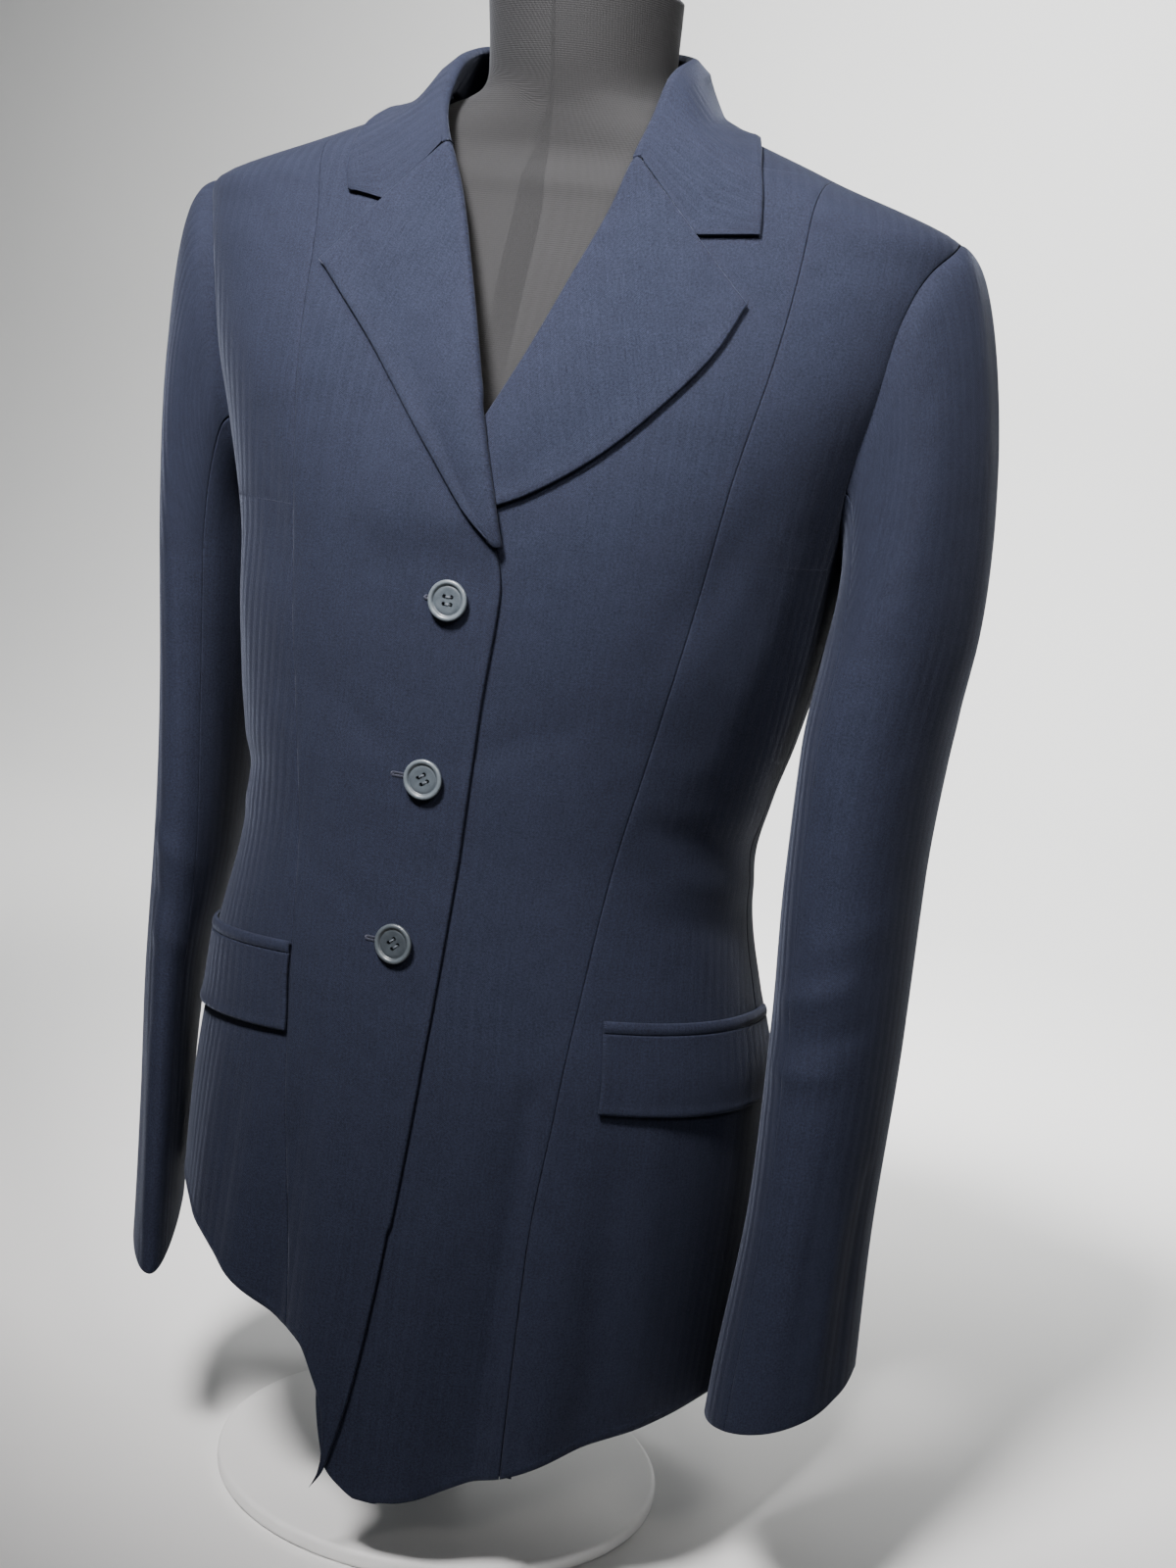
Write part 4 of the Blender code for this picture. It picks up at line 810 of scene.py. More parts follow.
class Nodes:
    """Short calls for a material's node tree."""

    def __init__(self, name, roughness, metallic=0.0):
        self.material = bpy.data.materials.new(name)
        self.material.use_nodes = True
        self.tree = self.material.node_tree
        self.shader = self.tree.nodes["Principled BSDF"]
        self.shader.inputs["Roughness"].default_value = roughness
        self.shader.inputs["Metallic"].default_value = metallic

    def node(self, kind, **values):
        made = self.tree.nodes.new(kind)
        for key, value in values.items():
            setattr(made, key, value)
        return made

    def link(self, source, target):
        self.tree.links.new(source, target)

    def cloth_place(self):
        """The cut's coordinates, whole and then across and up."""
        place = self.node("ShaderNodeUVMap", uv_map="UVMap").outputs["UV"]
        split = self.node("ShaderNodeSeparateXYZ")
        self.link(place, split.inputs[0])
        return place, split.outputs["X"], split.outputs["Y"]

    def object_place(self):
        return self.node("ShaderNodeTexCoord").outputs["Object"]

    def math(self, operation, a, b=0.0, clamp=False):
        made = self.node("ShaderNodeMath", operation=operation, use_clamp=clamp)
        for socket, value in zip(made.inputs, (a, b)):
            if isinstance(value, (int, float)):
                socket.default_value = value
            else:
                self.link(value, socket)
        return made.outputs[0]

    def noise(self, coordinate, scale, detail=2.0, roughness=0.5):
        made = self.node("ShaderNodeTexNoise")
        made.inputs["Scale"].default_value = scale
        made.inputs["Detail"].default_value = detail
        made.inputs["Roughness"].default_value = roughness
        self.link(coordinate, made.inputs["Vector"])
        return made.outputs["Fac"]

    def centred(self, value, amount):
        """A value round a half made to vary round nought by the amount."""
        return self.math("MULTIPLY", self.math("SUBTRACT", value, 0.5), 2 * amount)

    def total(self, *values):
        result = values[0]
        for value in values[1:]:
            result = self.math("ADD", result, value)
        return result

    def tone(self, low, high, factor):
        """The base colour between two colours."""
        mix = self.node("ShaderNodeMix", data_type="RGBA")
        mix.inputs[6].default_value = (*low, 1.0)
        mix.inputs[7].default_value = (*high, 1.0)
        self.link(factor, mix.inputs[0])
        self.link(mix.outputs[2], self.shader.inputs["Base Color"])

    def bump(self, height, distance, strength=1.0):
        made = self.node("ShaderNodeBump")
        made.inputs["Distance"].default_value = distance
        made.inputs["Strength"].default_value = strength
        self.link(height, made.inputs["Height"])
        self.link(made.outputs["Normal"], self.shader.inputs["Normal"])

    def sheen(self, weight, roughness, tint):
        self.shader.inputs["Sheen Weight"].default_value = weight
        self.shader.inputs["Sheen Roughness"].default_value = roughness
        self.shader.inputs["Sheen Tint"].default_value = (*tint, 1.0)


STRIPE_WIDTH_MM = 3.7
TWILL_PITCH_MM = 0.95
RIB_PITCH_MM = 1.6
COURSE_PITCH_MM = 1.1
HORN_RIM = 0.74
HORN_RIM_SHARPNESS = 1500.0


def wool_material():
    n = Nodes("navy_wool_cloth", 0.88)
    uv, across, up = n.cloth_place()
    across = n.math("MULTIPLY", across, 1000.0)
    up = n.math("MULTIPLY", up, 1000.0)
    chevron = n.math("PINGPONG", across, STRIPE_WIDTH_MM)
    twill = n.math("SINE", n.math("MULTIPLY", n.math("ADD", up, chevron), 2 * math.pi / TWILL_PITCH_MM))
    column = n.math("SINE", n.math("MULTIPLY", across, math.pi / STRIPE_WIDTH_MM))
    off_middle = n.math("ABSOLUTE", n.math("SUBTRACT", chevron, STRIPE_WIDTH_MM / 2))
    turn = n.math("MULTIPLY", off_middle, 2 / STRIPE_WIDTH_MM)
    turn_line = n.math("POWER", turn, 6.0)
    seen = n.math("MULTIPLY", n.math("SUBTRACT", n.noise(uv, 9.0, 2.0), 0.34), 3.2, True)
    weave = n.total(
        n.math("MULTIPLY", column, 0.040),
        n.math("MULTIPLY", turn_line, -0.13),
        n.math("MULTIPLY", twill, 0.040),
    )
    streaks = n.node("ShaderNodeMapping")
    streaks.inputs["Scale"].default_value = (1.0, 0.16, 1.0)
    n.link(uv, streaks.inputs["Vector"])
    grain = n.noise(uv, 850.0, 3.0, 0.7)
    fleck = n.noise(uv, 2300.0, 2.0, 0.6)
    lint = n.math("GREATER_THAN", n.noise(uv, 620.0, 0.0), 0.80)
    factor = n.total(
        n.math("MULTIPLY", weave, seen),
        n.centred(grain, 0.85),
        n.centred(fleck, 0.75),
        n.centred(n.noise(streaks.outputs[0], 900.0, 2.0, 0.6), 0.22),
        n.centred(n.noise(uv, 60.0, 3.0, 0.6), 0.16),
        n.math("MULTIPLY", lint, 0.30),
    )
    n.tone((0.0022, 0.0033, 0.0094), (0.0162, 0.0208, 0.0415), n.math("ADD", factor, 0.5, True))
    n.sheen(0.10, 0.30, (0.62, 0.70, 0.92))
    n.shader.inputs["Specular IOR Level"].default_value = 0.22
    relief = n.total(n.math("MULTIPLY", twill, 0.4), n.math("MULTIPLY", turn_line, -0.35), fleck, grain)
    n.bump(relief, 0.00018, 0.55)
    return n.material


def jersey_material():
    n = Nodes("black_jersey_knit", 0.85)
    _, across, up = n.cloth_place()
    rib = n.math("SINE", n.math("MULTIPLY", across, 2 * math.pi * 1000 / RIB_PITCH_MM))
    course = n.math("SINE", n.math("MULTIPLY", up, 2 * math.pi * 1000 / COURSE_PITCH_MM))
    knit = n.math("MULTIPLY", n.math("ADD", rib, course), 0.5)
    coordinate = n.object_place()
    factor = n.total(
        n.math("MULTIPLY", knit, 0.18),
        n.centred(n.noise(coordinate, 900.0, 3.0), 0.5),
        n.centred(n.noise(coordinate, 22.0, 3.0), 0.2),
    )
    n.tone((0.0012, 0.0013, 0.0017), (0.0070, 0.0075, 0.0090), n.math("ADD", factor, 0.5, True))
    n.sheen(0.07, 0.4, (0.75, 0.80, 0.90))
    n.bump(knit, 0.00015, 0.5)
    return n.material


def horn_material(name, shade):
    n = Nodes(name, 0.36)
    coordinate = n.object_place()
    streak = n.noise(coordinate, 260.0, 4.0, 0.6)
    speck = n.noise(coordinate, 1500.0, 2.0)
    _, _, up = n.cloth_place()
    past_rim = n.math("SUBTRACT", up, HORN_RIM * BUTTON_THICKNESS)
    rim = n.math("MULTIPLY", past_rim, HORN_RIM_SHARPNESS, True)
    factor = n.total(n.centred(streak, 0.35), n.centred(speck, 0.20), n.math("MULTIPLY", rim, 0.55))
    low = tuple(shade * c for c in (0.034, 0.043, 0.053))
    high = tuple(shade * c for c in (0.112, 0.134, 0.152))
    n.tone(low, high, n.math("ADD", factor, 0.25, True))
    n.shader.inputs["Coat Weight"].default_value = 0.35
    n.shader.inputs["Coat Roughness"].default_value = 0.22
    n.bump(speck, 0.00006, 0.4)
    return n.material


def thread_material(name, low, high):
    n = Nodes(name, 0.60)
    coordinate = n.object_place()
    factor = n.centred(n.noise(coordinate, 1800.0, 2.0), 0.5)
    n.tone(low, high, n.math("ADD", factor, 0.5, True))
    n.sheen(0.3, 0.4, (0.7, 0.75, 0.9))
    return n.material


def metal_material():
    n = Nodes("pale_metal_coat", 0.50, 0.0)
    coordinate = n.object_place()
    peel = n.noise(coordinate, 700.0, 3.0)
    factor = n.total(n.centred(n.noise(coordinate, 14.0, 3.0), 0.3), n.centred(peel, 0.2))
    n.tone((0.72, 0.72, 0.71), (0.82, 0.82, 0.81), n.math("ADD", factor, 0.5, True))
    n.bump(peel, 0.00008, 0.4)
    return n.material


WOOL = wool_material()
JERSEY = jersey_material()
HORN = horn_material("slate_horn_button", 1.0)
# A darker copy of the horn for the bottom button: its colour is darkened as painted shade for the dimmer
# light low on the coat
HORN_PAINTED_SHADE = horn_material("slate_horn_button_painted_shade", 0.60)
THREAD = thread_material("navy_thread", (0.004, 0.005, 0.014), (0.016, 0.019, 0.040))
SLATE_THREAD = thread_material("slate_thread", (0.050, 0.062, 0.080), (0.120, 0.140, 0.165))
METAL = metal_material()


def dress(piece, slot, *nodes):
    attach(piece, "root")
    if nodes:
        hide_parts(*nodes)
    return piece


def dress_cloth(piece, node):
    dress(piece, "navy_wool", node)
    return piece


# Panels of the body
HEM_STEPS = 46


def princess_top(side):
    """The height at which the princess seam reaches the shoulder seam."""
    heights = np.linspace(ARMHOLE_TOP, NECK_POINT, 4000)
    half_width, _, _, _, middle = section(heights)
    past = PRINCESS.at(heights, side) - SIGN[side] * middle >= half_width
    return heights[np.argmax(past)]


def eased(low, high, count):
    """Heights closer together near both ends."""
    return low + (high - low) * (0.5 - 0.5 * np.cos(np.linspace(0.0, math.pi, count)))


def lower_heights():
    return np.concatenate([
        np.linspace(SKIRT_TOP, ARMHOLE_BOTTOM, 90),
        eased(ARMHOLE_BOTTOM, ARMHOLE_TOP, 50)[1:],
    ])


def shoulder_heights(side):
    share = np.linspace(0.0, 1.0, 16)[1:]
    top = princess_top(side)
    return ARMHOLE_TOP + (top - ARMHOLE_TOP) * 0.998 * (1 - (1 - share) ** 2.2)


def body_panel(node, side, left, right, heights, columns, rims, lift=None, top_rise=None):
    gap = SEAM_CLOSE / 2
    foot = [left(np.array(PANEL_FOOT)) + gap, right(np.array(PANEL_FOOT)) - gap]
    if node in HEM_FOOT:
        foot[0] = left(np.array(HEM_FOOT[node])) + gap
    width = foot[1] - foot[0]
    foot_share = spread(width, columns, rims[0], rims[1])[0] / width
    hem = HEM.at(foot[0] + width * foot_share, side) + rims[2]
    rise = (np.arange(HEM_STEPS) / HEM_STEPS)[:, None] ** 1.4
    skirt = hem + (SKIRT_TOP - hem) * rise
    row_width = right(heights) - left(heights) - 2 * gap
    share = spread(row_width, columns, rims[0], rims[1]) / row_width[:, None]
    level = np.repeat(heights[:, None], columns, axis=1)
    if top_rise:
        toward_neck = np.clip((level - ARMHOLE_TOP) / (NECK_POINT - ARMHOLE_TOP), 0.0, 1.0)
        level = level + toward_neck * top_rise(share)
    height = np.concatenate([skirt, level])
    share = np.concatenate([np.repeat(foot_share[None], HEM_STEPS, axis=0), share])
    low, high = left(height) + gap, right(height) - gap
    along = low + (high - low) * share
    raised = lift(height, along) if lift else 0.0
    middle, normal = body_point(height, along, SIGN[side], raised + WALL / 2)
    relief = edge_relief(along - low, rims[0]) + edge_relief(high - along, rims[1])
    relief = relief + edge_relief(np.maximum(height - hem, 0.0), rims[2])
    climbed = lengths_along(middle, 0)
    up = (SKIRT_TOP + climbed - climbed[HEM_STEPS])[:, columns // 2:columns // 2 + 1]
    uv = np.stack([along, np.where(height < SKIRT_TOP, height, up)], axis=-1)
    piece = shell("cloth_" + node, middle, normal, uv, rims, WOOL, relief)
    if rims[0] == SEAM_RIM:
        add_allowance(piece, side, left, lift)
    return dress_cloth(piece, node)


ALLOWANCE_WIDTH = 0.012
ALLOWANCE_TOP = 0.310
ALLOWANCE_THICKNESS = 0.0006
ALLOWANCE_LEVEL = -0.0011
ALLOWANCE_FOOT = 0.001
ALLOWANCE_RIM = 0.0002


def add_allowance(piece, side, seam, lift):
    """The seam allowance behind a skirt seam, sewn to the panel and lying under both."""
    share, across = np.meshgrid(np.linspace(0.0, 1.0, 50), np.linspace(-0.5, 0.5, 7), indexing="ij")
    foot = HEM.at(seam(np.array(PANEL_FOOT)), side) + ALLOWANCE_FOOT
    height = foot + (ALLOWANCE_TOP - foot) * share
    along = seam(height) + ALLOWANCE_WIDTH * across
    raised = lift(height, along) if lift else 0.0
    middle, normal = body_point(height, along, SIGN[side], raised + ALLOWANCE_LEVEL)
    uv = np.stack([along, height], axis=-1)
    rims = (ALLOWANCE_RIM,) * 4
    strip = shell("allowance", middle, normal, uv, rims, WOOL, 0.0, ALLOWANCE_THICKNESS)
    bm = bmesh.new()
    bm.from_mesh(piece.data)
    bm.from_mesh(strip.data)
    bm.to_mesh(piece.data)
    bm.free()
    bpy.data.objects.remove(strip, do_unlink=True)


def make_body():
    for side in ("right", "left"):
        over_shoulder = shoulder_heights(side)
        below = lower_heights()
        to_neck = np.linspace(over_shoulder[-1], NECK_POINT, 12)[1:]

        def lift(height, along, side=side):
            return front_lift(side, height, along)

        body_panel(
            "front_" + side, side,
            lambda height, side=side: edge_along(side, height),
            lambda height, side=side: princess_along(side, height),
            np.concatenate([below, over_shoulder, to_neck]), 50,
            (FREE_RIM, SEAM_RIM, FREE_RIM, SEAM_RIM), lift,
        )
        body_panel(
            "side_front_" + side, side,
            lambda height, side=side: princess_along(side, height),
            lambda height: outer_along(height, -1),
            np.concatenate([below, over_shoulder]), 54,
            (SEAM_RIM, SEAM_RIM, FREE_RIM, SEAM_RIM), lift if side == "right" else None,
        )
        body_panel(
            "back_" + side, side,
            lambda height: outer_along(height, 1),
            along_back,
            np.concatenate([below, np.linspace(ARMHOLE_TOP, NECK_POINT, 24)[1:]]), 76,
            (SEAM_RIM, SEAM_RIM, FREE_RIM, SEAM_RIM),
            top_rise=lambda share: -NECK_BACK_DROP * smooth(0.0, 0.7, share),
        )


# Sleeves
CAP_STEPS, ARM_STEPS = 7, 12
CAP_ROWS, ARM_ROWS = 44, 124
ARC_PER_DEGREE = 0.048 * math.pi / 180
CAP_ARRIVES = 0.9
SLEEVE_PROBE = 0.03
TUCK_SHARE = 0.16
TUCK_DEPTH = 0.0021
TUCK_AWAY = 0.0014


def armhole_point(angle, side):
    """The armhole's edge: 0 is the shoulder tip, 90 the front, 180 the armpit, 270 the back."""
    turn = np.radians(angle)
    middle = (ARMHOLE_TOP + ARMHOLE_BOTTOM) / 2
    reach = (ARMHOLE_TOP - ARMHOLE_BOTTOM) / 2
    height = middle + reach * np.cos(turn)
    ahead = np.mod(angle, 360.0) <= 180
    y = np.where(ahead, -ARMHOLE_FRONT, ARMHOLE_BACK) * armhole_share(height)
    return body_point(height, along_at_depth(height, y), SIGN[side])


def sleeve_ring(height, angle, side):
    centre, forward, outer, inner, depth, turn = SLEEVE[side].at(height, *SLEEVE_COLUMNS[1:])
    a, t = np.radians(angle), np.radians(turn)
    across = np.where(np.cos(a) > 0, outer, inner) * np.cos(a)
    ahead = depth * np.sin(a)
    x = across * np.cos(t) - ahead * np.sin(t)
    y = -ahead * np.cos(t) - across * np.sin(t)
    height = np.broadcast_to(height, x.shape)
    return np.stack([SIGN[side] * (centre + x), y - forward, height], axis=-1)


def sleeve_surface(step, angle, side):
    """Points of the sleeve's middle surface, from the armhole to the cuff, tucked in at the seam."""
    start, out = armhole_point(angle, side)
    end = sleeve_ring(CAP_BOTTOM, angle, side)
    below = sleeve_ring(CAP_BOTTOM - SLEEVE_PROBE, angle, side)
    start = start + out * (LAYER + WALL / 2)
    top = (0.5 + 0.5 * np.cos(np.radians(angle)))[..., None]
    weights = zip(CAP_AT_ARMPIT, CAP_CHANGE[side])
    outward, sideways, down, pull = (low + change * top for low, change in weights)
    side_way, down_way = np.array([SIGN[side], 0.0, 0.0]), np.array([0.0, 0.0, -1.0])
    leave = unit(out * outward + side_way * sideways + down_way * down)
    reach = np.linalg.norm(end - start, axis=-1, keepdims=True)
    arrive = unit(below - end)
    t = np.clip(step / CAP_STEPS, 0.0, 1.0)[..., None]
    cap = curve(t, start, leave * reach * pull, end, arrive * reach * CAP_ARRIVES)
    tucked = np.clip(1 - t / TUCK_SHARE, 0.0, 1.0) ** 2
    flat_way = unit(leave - out * np.sum(leave * out, axis=-1, keepdims=True))
    cap = cap - out * TUCK_DEPTH * tucked + flat_way * TUCK_AWAY * tucked
    cuff = CUFF.at(np.mod(angle, 360.0), side)
    fallen = np.clip((step - CAP_STEPS) / ARM_STEPS, 0.0, 1.0)
    arm = sleeve_ring(CAP_BOTTOM + (cuff - CAP_BOTTOM) * fallen, angle, side)
    return np.where((step <= CAP_STEPS)[..., None], cap, arm)


def sleeve_panel(node, side, low, high, columns):
    width = (high - low) * ARC_PER_DEGREE
    clear = SEAM_RIM + SEAM_CLOSE / 2
    share = spread(width, columns, clear, clear)[0] / width
    cap_steps = CAP_STEPS * np.linspace(0.0, 1.0, CAP_ROWS) ** 1.35
    arm_steps = CAP_STEPS + ARM_STEPS * (1 - (1 - np.linspace(0.0, 1.0, ARM_ROWS)[1:]) ** 1.12)
    steps = np.concatenate([cap_steps, arm_steps])
    step, angle = np.meshgrid(steps, low + (high - low) * share, indexing="ij")
    middle = sleeve_surface(step, angle, side)
    normal = grid_normals(middle) * SIGN[side]
    arc_scale = np.array([ARC_PER_DEGREE, 1.0, ARC_PER_DEGREE, 1.0, 1.0, 1.0])
    creases = np.array(SLEEVE_CREASES[side]) * arc_scale
    turned = np.mod(angle, 360.0) * ARC_PER_DEGREE
    middle = middle + normal * segment_swell(turned, middle[..., 2], creases)[..., None]
    normal = grid_normals(middle) * SIGN[side]
    across = lengths_along(middle, 1)
    up = lengths_along(middle, 0)
    half = slice(columns // 2, columns // 2 + 1)
    uv = np.stack([across - across[:, half], np.repeat(-up[:, half], columns, axis=1)], axis=-1)
    rims = (SEAM_RIM, SEAM_RIM, SEAM_RIM, FREE_RIM)
    relief = edge_relief(across, SEAM_RIM) + edge_relief(across[:, -1:] - across, SEAM_RIM)
    relief = relief + edge_relief(up, SEAM_RIM) + edge_relief(up[-1:] - up, FREE_RIM)
    return dress_cloth(shell("cloth_" + node, middle, normal, uv, rims, WOOL, relief), node)


def make_sleeves():
    for side in ("right", "left"):
        sleeve_panel("sleeve_upper_" + side, side, SLEEVE_SEAM_BACK - 360, SLEEVE_SEAM_FRONT, 92)
        sleeve_panel("sleeve_under_" + side, side, SLEEVE_SEAM_FRONT, SLEEVE_SEAM_BACK, 50)


# Lapels: the roll's end in degrees, the puff of the flat part and how its edge lifts
CURL_LEVEL = LAYER + 2 * SEAM_GAP
ROLL_END = 92.0
ROLL_CLEAR = 0.0015
LAPEL_PUFF = 0.0016
LAPEL_EDGE_LIFT = 0.0005
GRAIN_TURN = {"left": 18.0, "right": -18.0}


def planar_uv(points, turn):
    """Cloth coordinates of a nearly flat piece, with its grain turned from upright."""
    a = math.radians(turn)
    u = points[..., 0] * math.cos(a) + points[..., 2] * math.sin(a)
    v = points[..., 2] * math.cos(a) - points[..., 0] * math.sin(a)
    return np.stack([u, v], axis=-1)


def make_lapel(side):
    node = "lapel_" + side
    foot = LAPEL_FOOT[side]
    t = np.linspace(0.0, 1.0, 60)[:, None]
    roll_height = foot + (GORGE_TOP[side][1] - foot) * t
    roll_out = EDGE.at(roll_height, side)
    end_out, end_height = LAPEL_EDGE[side].at(t, "out", "height")
    drop = (SEAM_GAP + SEAM_RIM) * (t == 1.0)
    roll_height, end_height = roll_height - drop, end_height - drop
    turns = np.linspace(ROLL_TURNS[side][0], ROLL_END, 14)
    curled = (ROLL_TURNS[side][0] - turns) / (ROLL_TURNS[side][0] - ROLL_END)
    radius = LAYER + (CURL_LEVEL - LAYER) * curled
    curl_out = roll_out - SEAM_GAP + radius * np.cos(np.radians(turns))
    curl_height = roll_height + 0 * curl_out
    curl_level = WALL / 2 + radius * np.sin(np.radians(turns)) + 0 * curl_out
    width = np.hypot(end_out - roll_out, end_height - roll_height)
    u = spread(width[:, 0], 48, ROLL_CLEAR, FREE_RIM) / width
    flat_out = roll_out + (end_out - roll_out) * u
    flat_height = roll_height + (end_height - roll_height) * u
    puff = LAPEL_PUFF * np.sin(math.pi * np.minimum(u * 1.3, 1.0)) * smooth(0.0, 0.4, t)
    flat_level = CURL_LEVEL + WALL / 2 + puff + LAPEL_EDGE_LIFT * smooth(0.75, 1.0, u)
    out = np.concatenate([curl_out, flat_out], axis=1)
    height = np.concatenate([curl_height, flat_height], axis=1)
    level = np.concatenate([curl_level, flat_level], axis=1)
    middle, _ = layered(height, out, side, level)
    normal = grid_normals(middle) * SIGN[side]
    if np.mean(normal[:, -1, 1]) > 0:
        normal = -normal
    rims = (SEAM_RIM, FREE_RIM, SEAM_RIM, FREE_RIM)
    across = lengths_along(middle, 1)
    relief = edge_relief(across[:, -1:] - across, FREE_RIM)
    uv = planar_uv(middle, GRAIN_TURN[side])
    piece = shell("cloth_" + node, middle, normal, uv, rims, WOOL, relief)
    return dress_cloth(piece, node)


# Collar
FALL_WIDTH = 0.06
CURL_TURNS = (180.0, 65.0)
FALL_COUNT = 40
CURL_COUNT = 14
STAND_COUNT = 8
STATION_COUNT = 46


def clearance(point):
    """Rough distance of points outside the coat's inner surface, and the way out."""
    out = normal_at(point[..., 2], point[..., 0], point[..., 1])
    size = ring_size(point[..., 0], point[..., 1], point[..., 2])
    sideways = point[..., 0] - section(point[..., 2])[4]
    along_ray = np.maximum(np.hypot(sideways, point[..., 1]), 1e-6)
    flat = (sideways * out[..., 0] + point[..., 1] * out[..., 1]) / along_ray
    return (along_ray - along_ray / np.maximum(size, 1e-6)) * np.maximum(flat, 0.1), out


def pushed_out(point, least):
    """The points moved outward until clear of the coat's inner surface, with a soft start."""
    distance, out = clearance(point)
    wanted = least + PUSH_EASE * np.log1p(np.exp(np.minimum((distance - least) / PUSH_EASE, 30.0)))
    for _ in range(PUSH_ROUNDS):
        step = np.where(distance < wanted - PUSH_TOLERANCE, wanted - distance, 0.0)
        point = point + out * (step * PUSH_SHARE)[..., None]
        distance, out = clearance(point)
    return point


def neck_seam(share, side):
    """Where the stand meets the neckline, just above the body's top edge."""
    if share <= SEAM_FRONT_PART:
        rise = 1 - (1 - share / SEAM_FRONT_PART) ** SEAM_EASE
        height = np.array(GORGE_TOP[side][1] + (NECK_POINT - GORGE_TOP[side][1]) * rise)
        return body_point(height, edge_along(side, height), SIGN[side], WALL / 2)[0]
    t = (share - SEAM_FRONT_PART) / (1 - SEAM_FRONT_PART)
    height = NECK_POINT - NECK_BACK_DROP * smooth(0.0, 0.7, np.array(t))
    low, high = along_side(height), along_back(height)
    return body_point(height, low + (high - low) * t, SIGN[side], WALL / 2)[0]


def collar_front(side, steps):
    """The collar's front end: curl over the front's edge, along the gorge seam, down the free edge."""
    out, height = GORGE_TOP[side]
    share = NOTCH_ON_GORGE[side]
    tip = LAPEL_EDGE_ROWS[side][-1][1:]
    notch = [(1 - share) * top + share * end for top, end in zip((out, height), tip)]
    corner = COLLAR_CORNER[side]
    height += COLLAR_GAP
    edge_out = EDGE.at(height, side) - SEAM_GAP
    centre, top_way = layered(np.array(height), edge_out, side, WALL / 2)
    outward = unit(layered(np.array(height), edge_out + CURL_PROBE, side, WALL / 2)[0] - centre)
    stops = [0.0, NOTCH_SHARE, 1.0]
    outs = np.interp(steps, stops, [out + GORGE_START_OUT, notch[0], corner[0]])
    down_edge = [height - GORGE_START_DROP, notch[1] + COLLAR_GAP, corner[1]]
    heights = np.interp(steps, stops, down_edge)
    fall, _ = layered(heights, outs, side, WALL / 2 + CURL_RADIUS)
    return centre, outward, top_way, fall


def collar_path(share, side):
    """One cut across the collar: up the stand, over the fold, down the fall."""
    steps = spread(FALL_WIDTH, FALL_COUNT, 0.0, FREE_RIM)[0] / FALL_WIDTH
    out, depth, height = FOLD.at(share, "out", "depth", "height")
    fold = np.array([SIGN[side] * out + section(height)[4], depth, height])
    out, depth, height = EDGE_OF_FALL[side].at(share, "out", "depth", "height")
    edge = np.array([SIGN[side] * out + section(height)[4], depth, height])
    top_way = np.array([0.0, 0.0, 1.0])
    outward = unit((edge - fold) * (1 - top_way))
    centre = fold - top_way * CURL_RADIUS
    over = fold + outward * FALL_START_OUT - top_way * FALL_START_DROP
    sag = FALL_SAG * smooth(*SAG_GROWS, share) * np.sin(math.pi * steps)[:, None]
    fall = pushed_out(over + (edge - over) * steps[:, None] - top_way * sag, LAYER + WALL / 2 + PUSH_EASE)
    seam = neck_seam(share, side) + top_way * (SEAM_GAP + WALL / 2)
    blend = float(smooth(0.0, FRONT_BLEND, share))
    if blend < 1.0:
        front_centre, front_outward, front_top, front_fall = collar_front(side, steps)
        centre = front_centre + (centre - front_centre) * blend
        outward = unit(front_outward + (outward - front_outward) * blend)
        top_way = front_top + (top_way - front_top) * blend
        top_way = unit(top_way - outward * (top_way @ outward))
        fall = front_fall + (fall - front_fall) * blend
        low_turn = math.radians(STAND_TURN)
        low_end = centre + CURL_RADIUS * (math.cos(low_turn) * outward + math.sin(low_turn) * top_way)
        seam = low_end + (seam - low_end) * blend
    turns = np.radians(np.linspace(*CURL_TURNS, CURL_COUNT))[:, None]
    curl = centre + CURL_RADIUS * (np.cos(turns) * outward + np.sin(turns) * top_way)
    stand = seam + (curl[0] - seam) * np.linspace(0.0, 1.0, STAND_COUNT, endpoint=False)[:, None]
    return np.concatenate([stand, curl, fall])


def make_collar():
    shares = np.concatenate([[0.0, 0.004, 0.010], np.linspace(0.02, 1.0, STATION_COUNT)])
    stations = [("left", s) for s in shares] + [("right", s) for s in shares[-2::-1]]
    middle = np.array([collar_path(float(share), side) for side, share in stations])
    normal = -grid_normals(middle)
    across = lengths_along(middle, 1)
    around = lengths_along(middle, 0)[:, -FALL_COUNT // 2:-FALL_COUNT // 2 + 1]
    uv = np.stack([around + 0 * across, -across], axis=-1)
    rims = (SEAM_RIM, FREE_RIM, SEAM_RIM, SEAM_RIM)
    relief = edge_relief(across[:, -1:] - across, FREE_RIM)
    piece = shell("cloth_collar", middle, normal, uv, rims, WOOL, relief)
    return dress_cloth(piece, "collar")


# Pocket flaps and welts
STRIP_SIDE_RELIEF = 0.7
FLAP_BOW = 0.0010
WELT_CROWN = 0.0006


